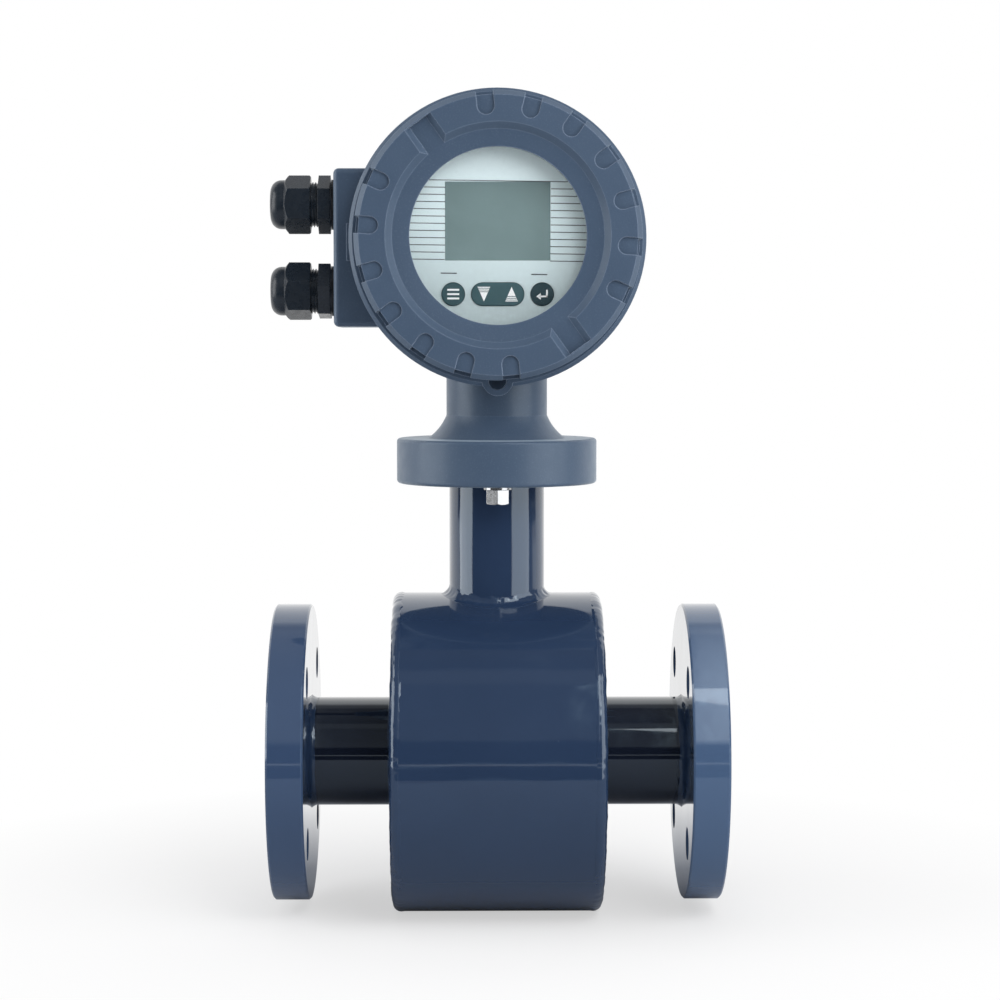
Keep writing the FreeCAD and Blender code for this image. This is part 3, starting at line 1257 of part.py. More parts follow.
def gland_body(name, height, turn):
    """Threaded shank, round foot, hexagon and the outer thread with the seal's seat."""
    inner_end = f"{BOX_CAVITY_FACE} - locknut_thickness - gland_shank_spare"
    seat_depth = f"{GLAND_BODY_END} - gland_seal_length"
    form = turned("X", gland_corners([
        (inner_end, "gland_bore_radius"), (inner_end, "entry_hole_radius - seat_gap"),
        (FOOT_START, "entry_hole_radius - seat_gap"), (FOOT_START, "gland_round_radius"),
        (FOOT_END, "gland_round_radius"), (FOOT_END, "gland_thread_radius"),
        (GLAND_BODY_END, "gland_thread_radius"), (GLAND_BODY_END, "gland_seal_seat_radius"),
        (seat_depth, "gland_seal_seat_radius"), (seat_depth, "gland_bore_radius"),
    ]), z=height)
    hexagon = hexagon_bar("gland_flats", f"{FOOT_END} - gland_foot_thickness / 3", GLAND_HEX_END,
                          ALONG_MINUS_X, z=height, turn=turn)
    bore = rod("gland_thread_radius - gland_hex_wall", "0", NUT_END, ALONG_MINUS_X, z=height)
    return node(name, fuse(form, cut(hexagon, bore)))


def gland_nut(name, height, turn):
    """A dome nut: a hexagon that ends in a round dome with the cable's mouth."""
    hexagon = solid("Prism", twisted(ALONG_MINUS_X, turn), x=f"-{NUT_START}", z=height,
                    Circumradius="gland_flats / sqrt(3)", Height="gland_nut_length + gland_dome_length")
    corner = "gland_flats / sqrt(3)"
    form = turned("X", gland_corners([
        (NUT_START, "gland_thread_radius + run_gap"), (NUT_START, f"{corner} - gland_nut_bevel"),
        (f"{NUT_START} + gland_nut_bevel", f"{corner} + seat_gap"),
        (f"{NUT_HEX_END} - gland_nut_slope", f"{corner} + seat_gap"),
        (NUT_HEX_END, "gland_dome_radius"),
        (f"{NUT_END} - gland_dome_round", "gland_dome_radius", "gland_dome_round + 0.001"),
        (NUT_END, "gland_dome_radius - gland_dome_round"), (NUT_END, "gland_mouth_radius"),
        (NUT_STOP, "gland_mouth_radius"), (NUT_STOP, "gland_thread_radius + run_gap"),
    ]), z=height)
    return node(name, common(form, hexagon))


def gland_seal(name, height):
    """The rubber seal that grips the cable."""
    return node(name, ring("X", f"-({SEAL_END})", f"-({SEAL_END} - gland_seal_length + run_gap)",
                           "cable_radius", "gland_seal_seat_radius - run_gap", z=height))


def cable_glands():
    """Two glands on the side box."""
    entries = {
        "upper": ("head_height + upper_entry", "0", "0"),
        "lower": ("head_height + upper_entry - entry_spacing", "lower_body_turn", "lower_nut_turn"),
    }
    gaskets = []
    locknuts = []
    for name, (height, body_turn, nut_turn) in entries.items():
        gland_body(f"{name}_gland_body", height, body_turn)
        gland_nut(f"{name}_gland_nut", height, nut_turn)
        gland_seal(f"{name}_gland_seal", height)
        gaskets.append(ring("X", f"-({FOOT_START} - seat_gap)", "-(box_reach + seat_gap)",
                            "entry_hole_radius", "gland_round_radius", z=height))
        start = f"{BOX_CAVITY_FACE} - seat_gap - locknut_thickness"
        end = f"{BOX_CAVITY_FACE} - seat_gap"
        bar = hexagon_bar("locknut_flats", start, end, ALONG_MINUS_X, z=height)
        locknuts.append(cut(bar, rod("entry_hole_radius", f"{start} - past", f"{end} + past",
                                     ALONG_MINUS_X, z=height)))
    node("gland_gaskets", group(*gaskets))
    node("gland_locknuts", group(*locknuts))


# ---------------------------------------------------------------- assembly
def build():
    measuring_tube()
    tube_liner()
    line_flange("inlet_flange", -1)
    line_flange("outlet_flange", 1)
    flange_welds()
    node("electrodes", group(*[electrode(side) for side in (-1, 1)]))
    node("electrode_bushes", group(*[electrode_bush(side) for side in (-1, 1)]))
    node("electrode_springs", group(*[disc_spring(side) for side in (-1, 1)]))
    node("electrode_nuts", group(*[electrode_nut(side) for side in (-1, 1)]))
    for name, side in (("upper", 1), ("lower", -1)):
        pole_shoe(f"{name}_pole_shoe", side)
        coil_core(f"{name}_coil_core", side)
        coil_bobbin(f"{name}_coil_bobbin", side)
        coil_winding(f"{name}_coil_winding", side)
    return_yoke()
    sensor_shell()
    node("end_plates", group(*[end_plate(side) for side in (-1, 1)]))
    shell_welds()
    node("plate_welds", group(*[plate_weld(side) for side in (-1, 1)]))
    neck_tube()
    neck_weld()
    neck_flange()
    neck_gasket()
    node("collar_bolts", group(*[collar_bolt(angle) for angle in neck_bolt_places()]))
    node("bolt_washers", group(*[bolt_washer(angle) for angle in neck_bolt_places()]))
    head_housing()
    front_cover()
    rear_cover()
    cover_oring("front_cover_oring", -1)
    cover_oring("rear_cover_oring", 1)
    window()
    face_plate()
    lcd_module()
    round_key("function_key", "-key_spacing")
    round_key("enter_key", "key_spacing")
    rocker_key()
    key_switches()
    electronics()
    terminal_chamber()
    cable_glands()


def export():
    """Check every object and write one STEP file for each sub-part."""
    doc.recompute()
    for thing in doc.Objects:
        if "Invalid" in thing.State or "Error" in thing.State:
            raise RuntimeError(f"{thing.Name} failed: {thing.State}")
    for name, thing in NODES.items():
        if thing.Shape.isNull() or not thing.Shape.isValid() or not thing.Shape.Solids:
            raise RuntimeError(f"{name} has no valid solid")
    os.makedirs("parts", exist_ok=True)
    for name, thing in NODES.items():
        thing.Shape.exportStep(f"parts/{name}.step")
    print(f"{len(NODES)} sub-parts")


build()
export()
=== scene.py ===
"""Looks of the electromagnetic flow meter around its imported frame."""

import json
import math

import bpy
from mathutils import Euler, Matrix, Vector, noise


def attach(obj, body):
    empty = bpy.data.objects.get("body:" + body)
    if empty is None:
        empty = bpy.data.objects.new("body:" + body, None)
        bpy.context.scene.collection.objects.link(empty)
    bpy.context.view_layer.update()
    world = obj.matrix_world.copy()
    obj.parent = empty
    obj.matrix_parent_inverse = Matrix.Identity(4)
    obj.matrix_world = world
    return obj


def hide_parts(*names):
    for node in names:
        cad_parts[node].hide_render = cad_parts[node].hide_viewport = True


MM = 0.001
WHITE = (1.0, 1.0, 1.0)

# Places and sizes of the solids, in millimetres.
FLOOR_HEIGHT = -89.2
TUBE_RADIUS = 30.1
FLANGE_BACK = 104.9
END_PLATE_FACE = 57.6
DRUM_RADIUS = 88.9
NECK_RADIUS = 26.4
SHELL_BEAD_PLACE, SHELL_BEAD_RADIUS, SHELL_BEAD_SECTION = 53.2, 84.5, 4.65
HEAD_AXIS = 285.0
GLAND_HEIGHTS = {"upper": HEAD_AXIS + 20.0, "lower": HEAD_AXIS - 27.7}
THREAD_START, THREAD_END = -98.3, -103.6
THREAD_ROOT, THREAD_CREST, THREAD_PITCH = 11.3, 12.4, 1.5
PLATE_FRONT, PLATE_RADIUS = -50.7, 47.6
LCD_CENTRE = HEAD_AXIS + 8.5
LCD_HALF_WIDTH, LCD_HALF_HEIGHT = 28.2, 21.0
KEY_FACE = -51.6
KEY_HEIGHT = HEAD_AXIS - 30.4
ROCKER_ARROWS = 7.4

# Print: ticks beside the display and dashes over the keys, and its slight turn on the plate.
TICK_COUNT, TICK_PITCH, TICK_WIDTH = 12, 3.84, 0.45
DASH_STARTS, DASH_LENGTH, DASH_RISE, DASH_WIDTH = (-30.2, 18.2), 8.6, 10.8, 0.6
PRINT_TURN = 0.8

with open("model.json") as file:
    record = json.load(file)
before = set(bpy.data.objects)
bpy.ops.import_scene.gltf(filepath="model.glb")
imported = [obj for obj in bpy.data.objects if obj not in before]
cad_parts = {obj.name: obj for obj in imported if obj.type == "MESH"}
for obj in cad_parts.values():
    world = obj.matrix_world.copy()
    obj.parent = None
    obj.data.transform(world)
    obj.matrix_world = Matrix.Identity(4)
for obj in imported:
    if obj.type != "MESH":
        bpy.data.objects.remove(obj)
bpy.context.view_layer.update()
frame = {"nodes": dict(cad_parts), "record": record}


# ---------------------------------------------------------------- finishes


class Graph:
    """The nodes of a material or a world, with short ways to add to them."""

    def __init__(self, owner):
        owner.use_nodes = True
        self.nodes = owner.node_tree.nodes
        self.links = owner.node_tree.links

    def spread(self, value, start, end, low, high):
        """value's stretch from start to end, carried to low to high and held there beyond."""
        if start > end:
            start, end, low, high = end, start, high, low
        node = self.nodes.new("ShaderNodeMapRange")
        node.inputs["From Min"].default_value = start
        node.inputs["From Max"].default_value = end
        node.inputs["To Min"].default_value = low
        node.inputs["To Max"].default_value = high
        self.links.new(value, node.inputs["Value"])
        return node.outputs["Result"]

    def mix(self, first, second, amount):
        """Colour that goes from first to second with amount."""
        node = self.nodes.new("ShaderNodeMix")
        node.data_type = "RGBA"
        for socket, colour in ((node.inputs["A"], first), (node.inputs["B"], second)):
            if isinstance(colour, tuple):
                socket.default_value = (*colour, 1.0)
            else:
                self.links.new(colour, socket)
        self.links.new(amount, node.inputs["Factor"])
        return node.outputs["Result"]

    def maths(self, operation, first, *others):
        """The numbers taken together, one after the other, by one operation."""
        for other in others:
            node = self.nodes.new("ShaderNodeMath")
            node.operation = operation
            self.links.new(first, node.inputs[0])
            self.links.new(other, node.inputs[1])
            first = node.outputs["Value"]
        return first

    def parts(self, vector):
        """The X, Y and Z of a vector."""
        node = self.nodes.new("ShaderNodeSeparateXYZ")
        self.links.new(vector, node.inputs["Vector"])
        return [node.outputs[name] for name in "XYZ"]


class Finish(Graph):
    """A principled material whose colour, roughness and relief come from procedural nodes."""

    def __init__(self, name, roughness=0.4, metallic=0.0, **sockets):
        self.material = bpy.data.materials.new(name)
        super().__init__(self.material)
        self.shader = self.nodes["Principled BSDF"]
        self.shader.inputs["Roughness"].default_value = roughness
        self.shader.inputs["Metallic"].default_value = metallic
        for socket, value in sockets.items():
            self.shader.inputs[socket.replace("_", " ")].default_value = value
        self.coordinates = self.nodes.new("ShaderNodeTexCoord").outputs["Object"]
        self.relief = []

    def noise(self, size, detail=2.0, stretch=(1.0, 1.0, 1.0)):
        """Cloudy grey pattern whose features are about size millimetres wide."""
        mapping = self.nodes.new("ShaderNodeMapping")
        mapping.inputs["Scale"].default_value = stretch
        texture = self.nodes.new("ShaderNodeTexNoise")
        texture.inputs["Scale"].default_value = 1.0 / (size * MM)
        texture.inputs["Detail"].default_value = detail
        self.links.new(self.coordinates, mapping.inputs["Vector"])
        self.links.new(mapping.outputs["Vector"], texture.inputs["Vector"])
        return texture.outputs["Fac"]

    def spots(self, spacing, radius):
        """1 inside small round spots that lie about spacing millimetres apart, 0 elsewhere."""
        texture = self.nodes.new("ShaderNodeTexVoronoi")
        texture.inputs["Scale"].default_value = 1.0 / (spacing * MM)
        self.links.new(self.coordinates, texture.inputs["Vector"])
        return self.spread(texture.outputs["Distance"], radius / spacing, 0.0, 1.0, 0.0)

    def colour(self, value):
        """Gives the paint its colour."""
        self.links.new(value, self.shader.inputs["Base Color"])

    def vary_roughness(self, value):
        """Gives the surface its uneven polish."""
        self.links.new(value, self.shader.inputs["Roughness"])

    def rounded_normal(self, radius, samples):
        """The surface's direction with its edges rounded to a radius in millimetres."""
        bevel = self.nodes.new("ShaderNodeBevel")
        bevel.samples = samples
        bevel.inputs["Radius"].default_value = radius * MM
        return bevel.outputs["Normal"]

    def wear_and_highlight_edges(self, radius):
        """0 on flat ground, rising to 1 along edges that a bevel of this radius would round."""
        flat = self.nodes.new("ShaderNodeNewGeometry")
        product = self.nodes.new("ShaderNodeVectorMath")
        product.operation = "DOT_PRODUCT"
        self.links.new(self.rounded_normal(radius, 4), product.inputs[0])
        self.links.new(flat.outputs["Normal"], product.inputs[1])
        return self.spread(product.outputs["Value"], 0.995, 0.85, 0.0, 1.0)

    def rise(self, height, depth):
        """A relief whose full swing is depth millimetres."""
        self.relief.append((height, depth))

    def finish(self, edge_round=0.0):
        """Chains the reliefs over softly rounded edges and returns the material."""
        normal = self.rounded_normal(edge_round, 6) if edge_round else None
        for height, depth in self.relief:
            bump = self.nodes.new("ShaderNodeBump")
            bump.inputs["Strength"].default_value = 1.0
            bump.inputs["Distance"].default_value = depth * MM
            self.links.new(height, bump.inputs["Height"])
            if normal is not None:
                self.links.new(normal, bump.inputs["Normal"])
            normal = bump.outputs["Normal"]
        if normal is not None:
            self.links.new(normal, self.shader.inputs["Normal"])
        return self.material


def glossy_paint(name, dark, pale, wave=1.2):
    """Thick dark blue enamel with orange peel, slow waves and a few specks of dust."""
    paint = Finish(
        name,
        Specular_IOR_Level=0.4,
        Specular_Tint=(0.60, 0.84, 1.0, 1.0),
        Coat_Weight=0.8,
        Coat_Roughness=0.04,
    )
    tone = paint.mix(dark, pale, paint.noise(60, 3))
    edge = paint.spread(paint.wear_and_highlight_edges(0.8), 0, 1, 0, 0.30)
    paint.colour(paint.mix(tone, (0.13, 0.18, 0.27), edge))
    paint.vary_roughness(paint.spread(paint.noise(9, 3), 0.3, 0.7, 0.05, 0.11))
    paint.rise(paint.noise(42, 1), wave)
    paint.rise(paint.noise(8.0, 1), 0.040)
    paint.rise(paint.spots(24, 0.40), 0.20)
    return paint.finish(0.9)


def satin_paint(name):
    """Blue-grey powder coat over a casting: fine grain, satin sheen, and paler edges that are a painted
    highlight.
    """
    paint = Finish(
        name,
        Specular_IOR_Level=0.45,
        Specular_Tint=(0.75, 0.90, 1.0, 1.0),
        Sheen_Weight=0.3,
        Sheen_Tint=(0.70, 0.86, 1.0, 1.0),
        Coat_Weight=0.25,
        Coat_Roughness=0.28,
    )
    tone = paint.mix((0.0365, 0.0610, 0.105), (0.0465, 0.0750, 0.125), paint.noise(45, 4))
    grain = paint.spread(paint.noise(0.8, 2), 0.55, 0.8, 0, 0.35)
    tone = paint.mix(tone, (0.10, 0.145, 0.21), grain)
    # Painted highlight: edges are mixed towards a pale blue-grey to stand for the light lines that
    # reflections draw along them.
    edge = paint.spread(paint.wear_and_highlight_edges(0.7), 0, 1, 0, 0.60)
    paint.colour(paint.mix(tone, (0.24, 0.30, 0.41), edge))
    paint.vary_roughness(paint.spread(paint.noise(6, 3), 0.3, 0.7, 0.38, 0.50))
    paint.rise(paint.noise(22, 2), 0.10)
    paint.rise(paint.noise(1.1, 3), 0.045)
    return paint.finish(0.8)


def metal(name, dark, light, low, high):
    """Bare metal: slight mottling, uneven polish and a fine grain."""
    steel = Finish(name, metallic=1.0)
    steel.colour(steel.mix(dark, light, steel.noise(5, 4)))
    steel.vary_roughness(steel.spread(steel.noise(1.6, 3), 0.3, 0.7, low, high))
    steel.rise(steel.noise(1.5, 2), 0.008)
    return steel.finish(0.35)


def plastic(name, dark, light, low, high, grain=0.5, edge_round=0.3, worn=0.15):
    """Moulded plastic or rubber: slight mottling, fine grain and rubbed edges."""
    body = Finish(name)
    tone = body.mix(dark, light, body.noise(7, 4))
    paler = tuple(min(1.0, channel * 2.2 + 0.03) for channel in light)
    body.colour(body.mix(tone, paler, body.spread(body.wear_and_highlight_edges(0.4), 0, 1, 0, worn)))
    body.vary_roughness(body.spread(body.noise(3, 3), 0.3, 0.7, low, high))
    body.rise(body.noise(grain, 2), 0.012)
    return body.finish(edge_round)


def key_plastic(name, dark, light):
    """A key cap: finer grain and more rubbed edges than other plastic."""
    return plastic(name, dark, light, 0.4, 0.52, 0.3, 0.4)


def ink(name, dark, light):
    """Print, with no edges to round or rub."""
    return plastic(name, dark, light, 0.45, 0.6, 0.3, 0, 0)


def printed_plate():
    """Pale plate, painted paler towards its top as painted light that offsets the shadow the cover casts
    there.
    """
    plate = Finish("printed_plate")
    height = plate.parts(plate.coordinates)[2]
    # Painted light: the colour grows paler towards the top to cancel the cover's shadow on the plate.
    rising = plate.spread(height, 0.250, 0.330, 0.0, 1.0)
    tone = plate.mix((0.465, 0.562, 0.580), (0.80, 0.94, 0.97), rising)
    clouds = plate.spread(plate.noise(2.2, 4), 0.45, 0.75, 0, 0.3)
    plate.colour(plate.mix(tone, (0.62, 0.75, 0.78), clouds))
    plate.vary_roughness(plate.spread(plate.noise(5, 3), 0.3, 0.7, 0.34, 0.44))
    plate.rise(plate.noise(0.5, 2), 0.006)
    return plate.finish()


def display():
    """Grey-green display that shows its faint rows and columns."""
    glass = Finish("display", roughness=0.16)
    rows = glass.nodes.new("ShaderNodeTexBrick")
    rows.offset = 0.0
    rows.inputs["Scale"].default_value = 1.0 / MM
    rows.inputs["Brick Width"].default_value = 0.62
    rows.inputs["Row Height"].default_value = 0.62
    rows.inputs["Mortar Size"].default_value = 0.06
    rows.inputs["Color1"].default_value = (0.158, 0.228, 0.232, 1)
    rows.inputs["Color2"].default_value = (0.166, 0.238, 0.243, 1)
    rows.inputs["Mortar"].default_value = (0.174, 0.248, 0.255, 1)
    turn = glass.nodes.new("ShaderNodeMapping")
    turn.inputs["Rotation"].default_value = (math.pi / 2, 0, 0)
    glass.links.new(glass.coordinates, turn.inputs["Vector"])
    glass.links.new(turn.outputs["Vector"], rows.inputs["Vector"])
    clouds = glass.spread(glass.noise(18, 2), 0.4, 0.7, 0, 0.5)
    glass.colour(glass.mix(rows.outputs["Color"], (0.140, 0.204, 0.208), clouds))
    glass.vary_roughness(glass.spread(glass.noise(4, 2), 0.3, 0.7, 0.14, 0.2))
    return glass.finish()


def clear_glass():
    """Window glass with a faint cast and a trace of haze."""
    glass = Finish("clear_glass", roughness=0.0, Transmission_Weight=1.0, IOR=1.45, Alpha=0.12)
    glass.colour(glass.mix((0.95, 0.98, 0.98), (0.90, 0.95, 0.95), glass.noise(12, 2)))
    glass.vary_roughness(glass.spread(glass.noise(20, 2), 0.5, 0.8, 0.0, 0.03))
    return glass.finish()


def circuit_board():
    """Green board with raised tracks."""
    board = Finish("circuit_board")
    tracks = board.spread(board.noise(1.6, 0, (1.0, 1.0, 0.12)), 0.50, 0.53, 0, 1)
    board.colour(board.mix((0.012, 0.10, 0.045), (0.03, 0.17, 0.08), tracks))
    board.vary_roughness(board.spread(board.noise(3, 2), 0.3, 0.7, 0.25, 0.4))
    board.rise(tracks, 0.03)
    return board.finish(0.2)


def wound_wire():
    """Fine enamelled wire wound round the coil's upright axis."""
    wire = Finish("wound_wire", metallic=1.0)
    turns = wire.nodes.new("ShaderNodeTexWave")
    turns.bands_direction = "Z"
    turns.inputs["Scale"].default_value = 1.0 / (2.2 * MM)
    wire.links.new(wire.coordinates, turns.inputs["Vector"])
    wire.colour(wire.mix((0.55, 0.22, 0.08), (0.80, 0.42, 0.20), turns.outputs["Fac"]))
    wire.vary_roughness(wire.spread(wire.noise(2, 2), 0.3, 0.7, 0.25, 0.4))
    wire.rise(turns.outputs["Fac"], 0.15)
    return wire.finish()


FINISHES = {
    "sensor_paint": glossy_paint("glossy_paint", (0.0155, 0.0300, 0.065), (0.0205, 0.0380, 0.081)),
    "head_paint": satin_paint("satin_paint"),
    "bright_steel": metal("bright_steel", (0.36, 0.37, 0.38), (0.46, 0.47, 0.48), 0.16, 0.24),
    "electrode_steel": metal("electrode_steel", (0.5, 0.5, 0.5), (0.66, 0.66, 0.65), 0.2, 0.34),
    "liner": plastic("liner", (0.80, 0.80, 0.77), (0.86, 0.86, 0.83), 0.28, 0.4, 0.8),
    "insulator": plastic("insulator", (0.80, 0.77, 0.70), (0.86, 0.84, 0.78), 0.35, 0.5),
    "soft_iron": metal("soft_iron", (0.22, 0.22, 0.23), (0.33, 0.33, 0.34), 0.4, 0.6),
    "bobbin_plastic": plastic("bobbin_plastic", (0.02, 0.02, 0.022), (0.03, 0.03, 0.032), 0.4, 0.55),
    "copper_wire": wound_wire(),
    "gasket_rubber": plastic("gasket_rubber", (0.010, 0.010, 0.011), (0.018, 0.018, 0.019), 0.55, 0.7),
    "gland_plastic": plastic(
        "gland_plastic", (0.008, 0.013, 0.020), (0.013, 0.020, 0.030), 0.22, 0.36, 0.6, 0.5
    ),
    "window_glass": clear_glass(),
    "plate_print": printed_plate(),
    "display_glass": display(),
    "key_rubber": key_plastic("key_rubber", (0.035, 0.075, 0.085), (0.045, 0.090, 0.100)),
    "circuit_board": circuit_board(),
    "component": plastic("component", (0.02, 0.02, 0.022), (0.035, 0.035, 0.037), 0.35, 0.5),
    "terminal_plastic": plastic("terminal_plastic", (0.05, 0.22, 0.10), (0.07, 0.28, 0.13), 0.35, 0.5),
    "brass_post": metal("brass_post", (0.60, 0.44, 0.20), (0.75, 0.58, 0.30), 0.2, 0.34),
}
PRINT_INK = ink("print_ink", (0.020, 0.022, 0.030), (0.030, 0.033, 0.042))
PALE_INK = ink("pale_ink", (0.80, 0.83, 0.84), (0.88, 0.90, 0.90))

# Pieces that the photograph shows in another tone than the rest of their slot.
NODE_FINISHES = {
    # Painted light: the flanges carry paler, lit copies of the drum's paint, with the outlet flange lit
    # most.
    "inlet_flange": glossy_paint("inlet_paint_lit", (0.028, 0.051, 0.105), (0.037, 0.064, 0.128), 0.30),
    "outlet_flange": glossy_paint("outlet_paint_lit", (0.045, 0.080, 0.152), (0.058, 0.098, 0.180), 0.30),
    # Painted shade: the tube stubs carry a darker copy of the paint for the shade between flange and
    # drum.
    "measuring_tube": glossy_paint("stub_paint_shaded", (0.0065, 0.0100, 0.021), (0.0095, 0.0140, 0.029), 0.15),
    "function_key": key_plastic("function_key", (0.027, 0.072, 0.086), (0.034, 0.086, 0.100)),
    "rocker_key": key_plastic("rocker_key", (0.032, 0.082, 0.096), (0.039, 0.096, 0.112)),
    "enter_key": key_plastic("enter_key", (0.011, 0.036, 0.047), (0.015, 0.045, 0.058)),
}

for row in frame["record"]["subparts"]:
    mesh = frame["nodes"][row["node"]].data
    mesh.materials.clear()
    mesh.materials.append(NODE_FINISHES.get(row["node"], FINISHES[row["material_slot"]]))


# ---------------------------------------------------------------- meshes


def piece(name, points, faces, body, slot, material=None, smooth=True):
    """A mesh from points in millimetres, riding on a body with a slot's finish."""
    mesh = bpy.data.meshes.new(name)
    mesh.from_pydata([Vector(point) * MM for point in points], [], faces)
    mesh.validate()
    for polygon in mesh.polygons:
        polygon.use_smooth = smooth
    mesh.materials.append(material or FINISHES[slot])
    made = bpy.data.objects.new(name, mesh)
    bpy.context.scene.collection.objects.link(made)
    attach(made, body)
    return made


def grid_faces(rows, columns, close_rows=True):
    """Quads over rows x columns points: each row is a ring, and the last row may meet the first."""
    faces = []
    for row in range(rows if close_rows else rows - 1):
        here, following = row * columns, (row + 1) % rows * columns
        for column in range(columns):
            beside = (column + 1) % columns
            faces.append((here + column, here + beside, following + beside, following + column))
    return faces


def lumps(angle, reach, seed, ripple, pitch):
    """Uneven height of a hand-laid weld bead, under thick paint, at one angle of its round."""
    lumps_per_mm, stack_share = 0.09, 0.10
    x, y = math.cos(angle) * reach * lumps_per_mm, math.sin(angle) * reach * lumps_per_mm
    place = Vector((x, y, seed))
    slow = noise.noise(place) * 0.9 + noise.noise(place * 3.1) * 0.5
    stack = abs(math.sin(angle * reach / pitch + 1.6 * noise.noise(place * 2.0)))
    return ripple * (slow + stack_share * stack)


def weld_bead(name, centre_line, section, ripple, pitch, reach, seed, node):
    """A closed bead: centre_line(angle) gives its point and two directions across it."""
    steps, sides = 720, 20
    points = []
    for step in range(steps):
        angle = math.tau * step / steps
        middle, out, along = centre_line(angle)
        for side in range(sides):
            turn = math.tau * side / sides
            grown = section + lumps(angle, reach, seed + 0.35 * math.sin(turn), ripple, pitch)
            points.append(middle + out * (grown * math.sin(turn)) + along * (grown * math.cos(turn)))
    made = piece(name, points, grid_faces(steps, sides), "meter", "sensor_paint")
    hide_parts(node)


def fillet_bead(name, foot_line, size, ripple, reach, seed, node):
    """A closed hollow fillet: foot_line(angle) gives the corner and the two walls' directions."""
    steps, sides = 420, 16
    stack_pitch, rooted = 2.4, 1.2
    points = []
    for step in range(steps):
        angle = math.tau * step / steps
        corner, along, up = foot_line(angle)
        for side in range(sides):
            turn = math.pi / 2 * side / (sides - 1)
            bulge = math.sin(2 * turn)
            grown = lumps(angle, reach, seed + 0.5 * bulge, ripple, stack_pitch) * bulge
            points.append(
                corner
                + along * (size * (1 - math.cos(turn)) + grown * math.cos(turn))
                + up * (size * (1 - math.sin(turn)) + grown * math.sin(turn))
            )
        points.append(corner + along * size - up * rooted)
        points.append(corner - along * rooted - up * rooted)
        points.append(corner - along * rooted + up * size)
    made = piece(name, points, grid_faces(steps, sides + 3), "meter", "sensor_paint")
    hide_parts(node)


def ring_line(centre, radius):
    """Centre line of a bead round the bore axis."""

    def line(angle):
        out = Vector((0, math.cos(angle), math.sin(angle)))
        return Vector((centre, 0, 0)) + out * radius, out, Vector((1, 0, 0))

    return line


def wall_line(wall, side, radius):
    """Corner between a tube round the bore axis and an upright wall, open towards side."""

    def line(angle):
        out = Vector((0, math.cos(angle), math.sin(angle)))
        return Vector((wall, 0, 0)) + out * radius, Vector((side, 0, 0)), out

    return line


def saddle_line(neck, drum):
    """Corner between the upright neck and the drum."""

    def line(angle):
        x, y = neck * math.cos(angle), neck * math.sin(angle)
        foot = Vector((x, y, math.sqrt(drum * drum - y * y)))
        normal = Vector((0, foot.y, foot.z)).normalized()
        out = Vector((math.cos(angle), math.sin(angle), 0))
        along = (out - normal * out.dot(normal)).normalized()
        return foot, along, Vector((0, 0, 1))

    return line


def helix_thread(name, height):
    """An outside thread along -X whose ends fade into the root."""
    turns = (THREAD_START - THREAD_END) / THREAD_PITCH
    steps_a_turn, fade_rate = 72, 8
    steps = int(turns * steps_a_turn)
    root, crest = THREAD_ROOT, THREAD_CREST
    foot = root - 0.4
    across = ((-0.48, foot), (-0.40, root), (-0.10, crest), (0.10, crest), (0.40, root), (0.48, foot))
    points = []
    for step in range(steps + 1):
        share = step / steps
        fade = min(1.0, fade_rate * share, fade_rate * (1 - share))
        angle = math.tau * turns * share
        for along, radius in across:
            reach = min(radius, root) + (radius - min(radius, root)) * fade
            place = THREAD_START - (turns * share + along) * THREAD_PITCH
            points.append((place, reach * math.cos(angle), height + reach * math.sin(angle)))
    piece(name, points, grid_faces(steps + 1, len(across), False), "meter", "gland_plastic")


def slab(name, loops, front, back, body, slot, material):
    """Flat shapes of (x, z) corners, raised from back to front along -Y."""
    points = []
    faces = []
    for loop in loops:
        first = len(points)
        count = len(loop)
        points.extend((x, front, z) for x, z in loop)
        points.extend((x, back, z) for x, z in loop)
        behind = first + count
        faces.append(tuple(range(first, behind)))
        faces.append(tuple(range(behind + count - 1, behind - 1, -1)))
        for corner in range(count):
            beside = (corner + 1) % count
            faces.append((first + beside, first + corner, behind + corner, behind + beside))
    piece(name, points, faces, body, slot, material, smooth=False)


def stroke(x0, z0, x1, z1, width):
    """Four corners of a straight line of the given width."""
    along = Vector((x1 - x0, z1 - z0)).normalized()
    across = Vector((-along.y, along.x)) * width / 2
    return [
        (x0 + across.x, z0 + across.y),
        (x0 - across.x, z0 - across.y),
        (x1 - across.x, z1 - across.y),
        (x1 + across.x, z1 + across.y),
    ]


def turned_print(loops):
    """Corners turned a little round the head's axis, as the print sits on its plate."""
    turn = math.radians(PRINT_TURN)
    cosine, sine = math.cos(turn), math.sin(turn)
    return [
        [
            (x * cosine + (z - HEAD_AXIS) * sine, HEAD_AXIS - x * sine + (z - HEAD_AXIS) * cosine)
            for x, z in loop
        ]
        for loop in loops
    ]


# ---------------------------------------------------------------- weld beads and threads

for name, place, seed in (
    ("shell_bead_left", -SHELL_BEAD_PLACE, 0.3),
    ("shell_bead_right", SHELL_BEAD_PLACE, 5.2),
):
    line = ring_line(place, SHELL_BEAD_RADIUS)
    weld_bead(
        name, line, SHELL_BEAD_SECTION, ripple=0.36, pitch=1.7, reach=84, seed=seed, node="shell_welds"
    )
for name, wall, side, size, ripple, seed, node in (
    ("flange_bead_left", -FLANGE_BACK, 1, 5.0, 0.35, 2.4, "flange_welds"),
    ("flange_bead_right", FLANGE_BACK, -1, 5.0, 0.35, 7.1, "flange_welds"),
    ("plate_bead_left", -END_PLATE_FACE, -1, 3.2, 0.30, 3.9, "plate_welds"),
    ("plate_bead_right", END_PLATE_FACE, 1, 3.2, 0.30, 9.6, "plate_welds"),
):
    fillet_bead(name, wall_line(wall, side, TUBE_RADIUS), size, ripple, reach=31, seed=seed, node=node)
